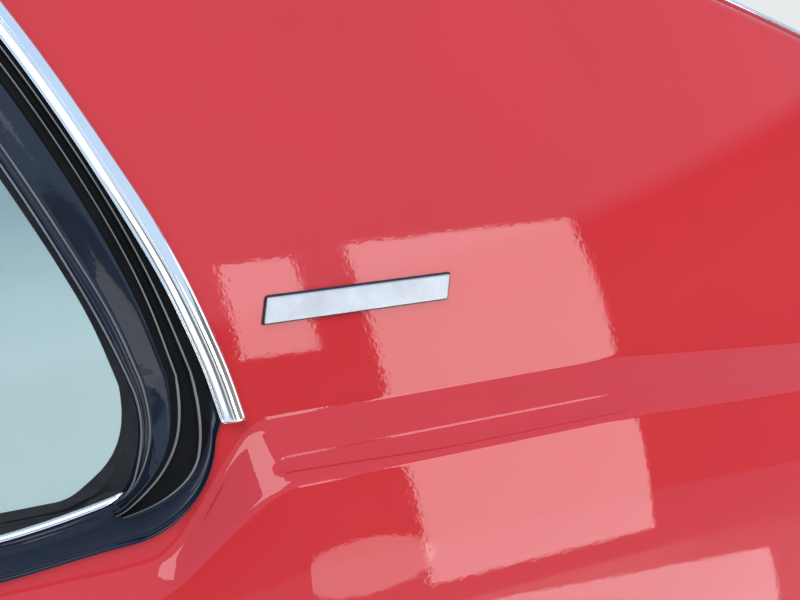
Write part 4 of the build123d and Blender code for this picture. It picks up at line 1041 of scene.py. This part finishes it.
def add_floor():
    """A round pale floor under the part: rings of points about a place below it."""
    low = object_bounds()[0][2] - FLOOR_GAP
    sides = 64
    angles = np.linspace(0.0, 2 * np.pi, sides, endpoint=False)
    radius, angle = np.meshgrid(FLOOR_RINGS, angles, indexing="ij")
    points = np.stack([FLOOR_X + radius * np.cos(angle), radius * np.sin(angle), 0 * radius + low], -1)
    faces = grid_faces(len(FLOOR_RINGS), sides, wrap_cols=True)[:, ::-1]
    mesh = bpy.data.meshes.new("floor")
    mesh.from_pydata(points.reshape(-1, 3).tolist(), [], faces.tolist())
    floor = bpy.data.objects.new("floor", mesh)
    bpy.context.scene.collection.objects.link(floor)
    mesh.materials.append(finish(
        "pale_floor", (0.72, 0.72, 0.70), ((0.70, 0.70, 0.68), (0.74, 0.74, 0.72)), (1.5, 3.0),
        roughness=0.7))


def add_softbox(name, place, target, size, power, colour=(1.0, 1.0, 1.0), shape="RECTANGLE"):
    """A soft light at a place, facing a target and unseen through glass, with its power in watts."""
    lamp = bpy.data.lights.new(name, "AREA")
    lamp.shape = shape
    lamp.size, lamp.size_y = size
    lamp.energy = power
    lamp.color = colour
    light = bpy.data.objects.new(name, lamp)
    light.visible_transmission = False
    light.location = place
    light.rotation_euler = (Vector(target) - Vector(place)).to_track_quat("-Z", "Y").to_euler()
    bpy.context.scene.collection.objects.link(light)


def add_lamps():
    """Boards whose reflections lie in the paint, a large soft light above, and one behind the part."""
    add_softbox("board", (2.09, -2.6, 0.98), (2.09, 0.0, 0.98), (0.88, 1.68), 21.0)
    add_softbox("narrow_board", (1.34, -2.6, 1.50), (1.34, 0.0, 1.50), (0.25, 0.55), 1.9)
    add_softbox("left_board", (-2.5, -2.3, 0.75), (0.4, -0.1, 0.8), (1.1, 1.5), 6.5, (1.0, 0.97, 0.84))
    add_softbox("right_board", (3.4, -0.2, 1.2), (0.45, 0.0, 0.85), (1.0, 1.6), 8.0, (0.85, 0.93, 1.0))
    add_softbox("low_board", (1.34, -2.3, 0.42), (0.56, -0.12, 0.66), (0.38, 0.34), 0.8, shape="ELLIPSE")
    add_softbox("floor_board", (1.55, -1.49, 0.06), (1.33, -1.21, 1.06), (1.05, 0.45), 5.6,
                (0.94, 0.98, 1.0))
    add_softbox("key", (-0.6, -1.5, 3.5), (0.5, -0.1, 0.7), (2.2, 2.2), 58.0, (1.0, 0.98, 0.95))
    add_softbox("behind", (0.8, 2.6, 2.4), (0.6, 0.0, 0.6), (2.0, 1.4), 40.0)


def add_world():
    """A pale room: a soft bright ceiling, faintly blue, over darker walls; behind everything plain pale.

    How high a ray looks is its Z, less 0.2 of its X. The camera and glass see the plain colour instead.
    """
    world = bpy.data.worlds.new("studio")
    world.use_nodes = True
    bpy.context.scene.world = world
    tree = world.node_tree
    back = tree.nodes["Background"]
    place = tree.nodes.new("ShaderNodeTexCoord")
    parts = tree.nodes.new("ShaderNodeSeparateXYZ")
    tree.links.new(place.outputs["Generated"], parts.inputs["Vector"])
    tilt = tree.nodes.new("ShaderNodeMath")
    tilt.operation = "MULTIPLY_ADD"
    tilt.inputs[1].default_value = -0.2
    tree.links.new(parts.outputs["X"], tilt.inputs[0])
    tree.links.new(parts.outputs["Z"], tilt.inputs[2])
    room = ramp(tree, tilt.outputs[0], ROOM_SHADES)
    path = tree.nodes.new("ShaderNodeLightPath")
    seen = tree.nodes.new("ShaderNodeMath")
    seen.operation = "MAXIMUM"
    tree.links.new(path.outputs["Is Camera Ray"], seen.inputs[0])
    tree.links.new(path.outputs["Is Transmission Ray"], seen.inputs[1])
    mix = tree.nodes.new("ShaderNodeMix")
    mix.data_type = "RGBA"
    tree.links.new(seen.outputs[0], mix.inputs["Factor"])
    tree.links.new(room, mix.inputs["A"])
    mix.inputs["B"].default_value = BEHIND
    tree.links.new(mix.outputs["Result"], back.inputs["Color"])
    back.inputs["Strength"].default_value = 1.0


def add_camera():
    """The photograph's view: 1 m up beside the sail, turned aft and looking down."""
    yaw, pitch = np.radians(YAW), np.radians(PITCH)
    ahead = Vector((np.sin(yaw) * np.cos(pitch), np.cos(yaw) * np.cos(pitch), np.sin(pitch)))
    right = Vector((np.cos(yaw), -np.sin(yaw), 0.0))
    up = right.cross(ahead)
    data = bpy.data.cameras.new("camera")
    data.lens, data.sensor_width = LENS, FILM_W
    data.clip_start = 0.02
    camera = bpy.data.objects.new("camera", data)
    turn = Matrix((right, up, -ahead)).transposed().to_4x4()
    camera.matrix_world = Matrix.Translation(EYE) @ turn
    bpy.context.scene.collection.objects.link(camera)
    bpy.context.scene.camera = camera


add_camera()
add_world()
finishes = make_finishes()
for add_pieces in (add_panel, add_flap, add_moulding, add_frame, add_surround, add_bead, add_gasket,
                   add_hatch_edge, add_badge, finish_nodes):
    add_pieces(finishes)
add_floor()
add_lamps()
bpy.context.scene.view_settings.view_transform = "Standard"
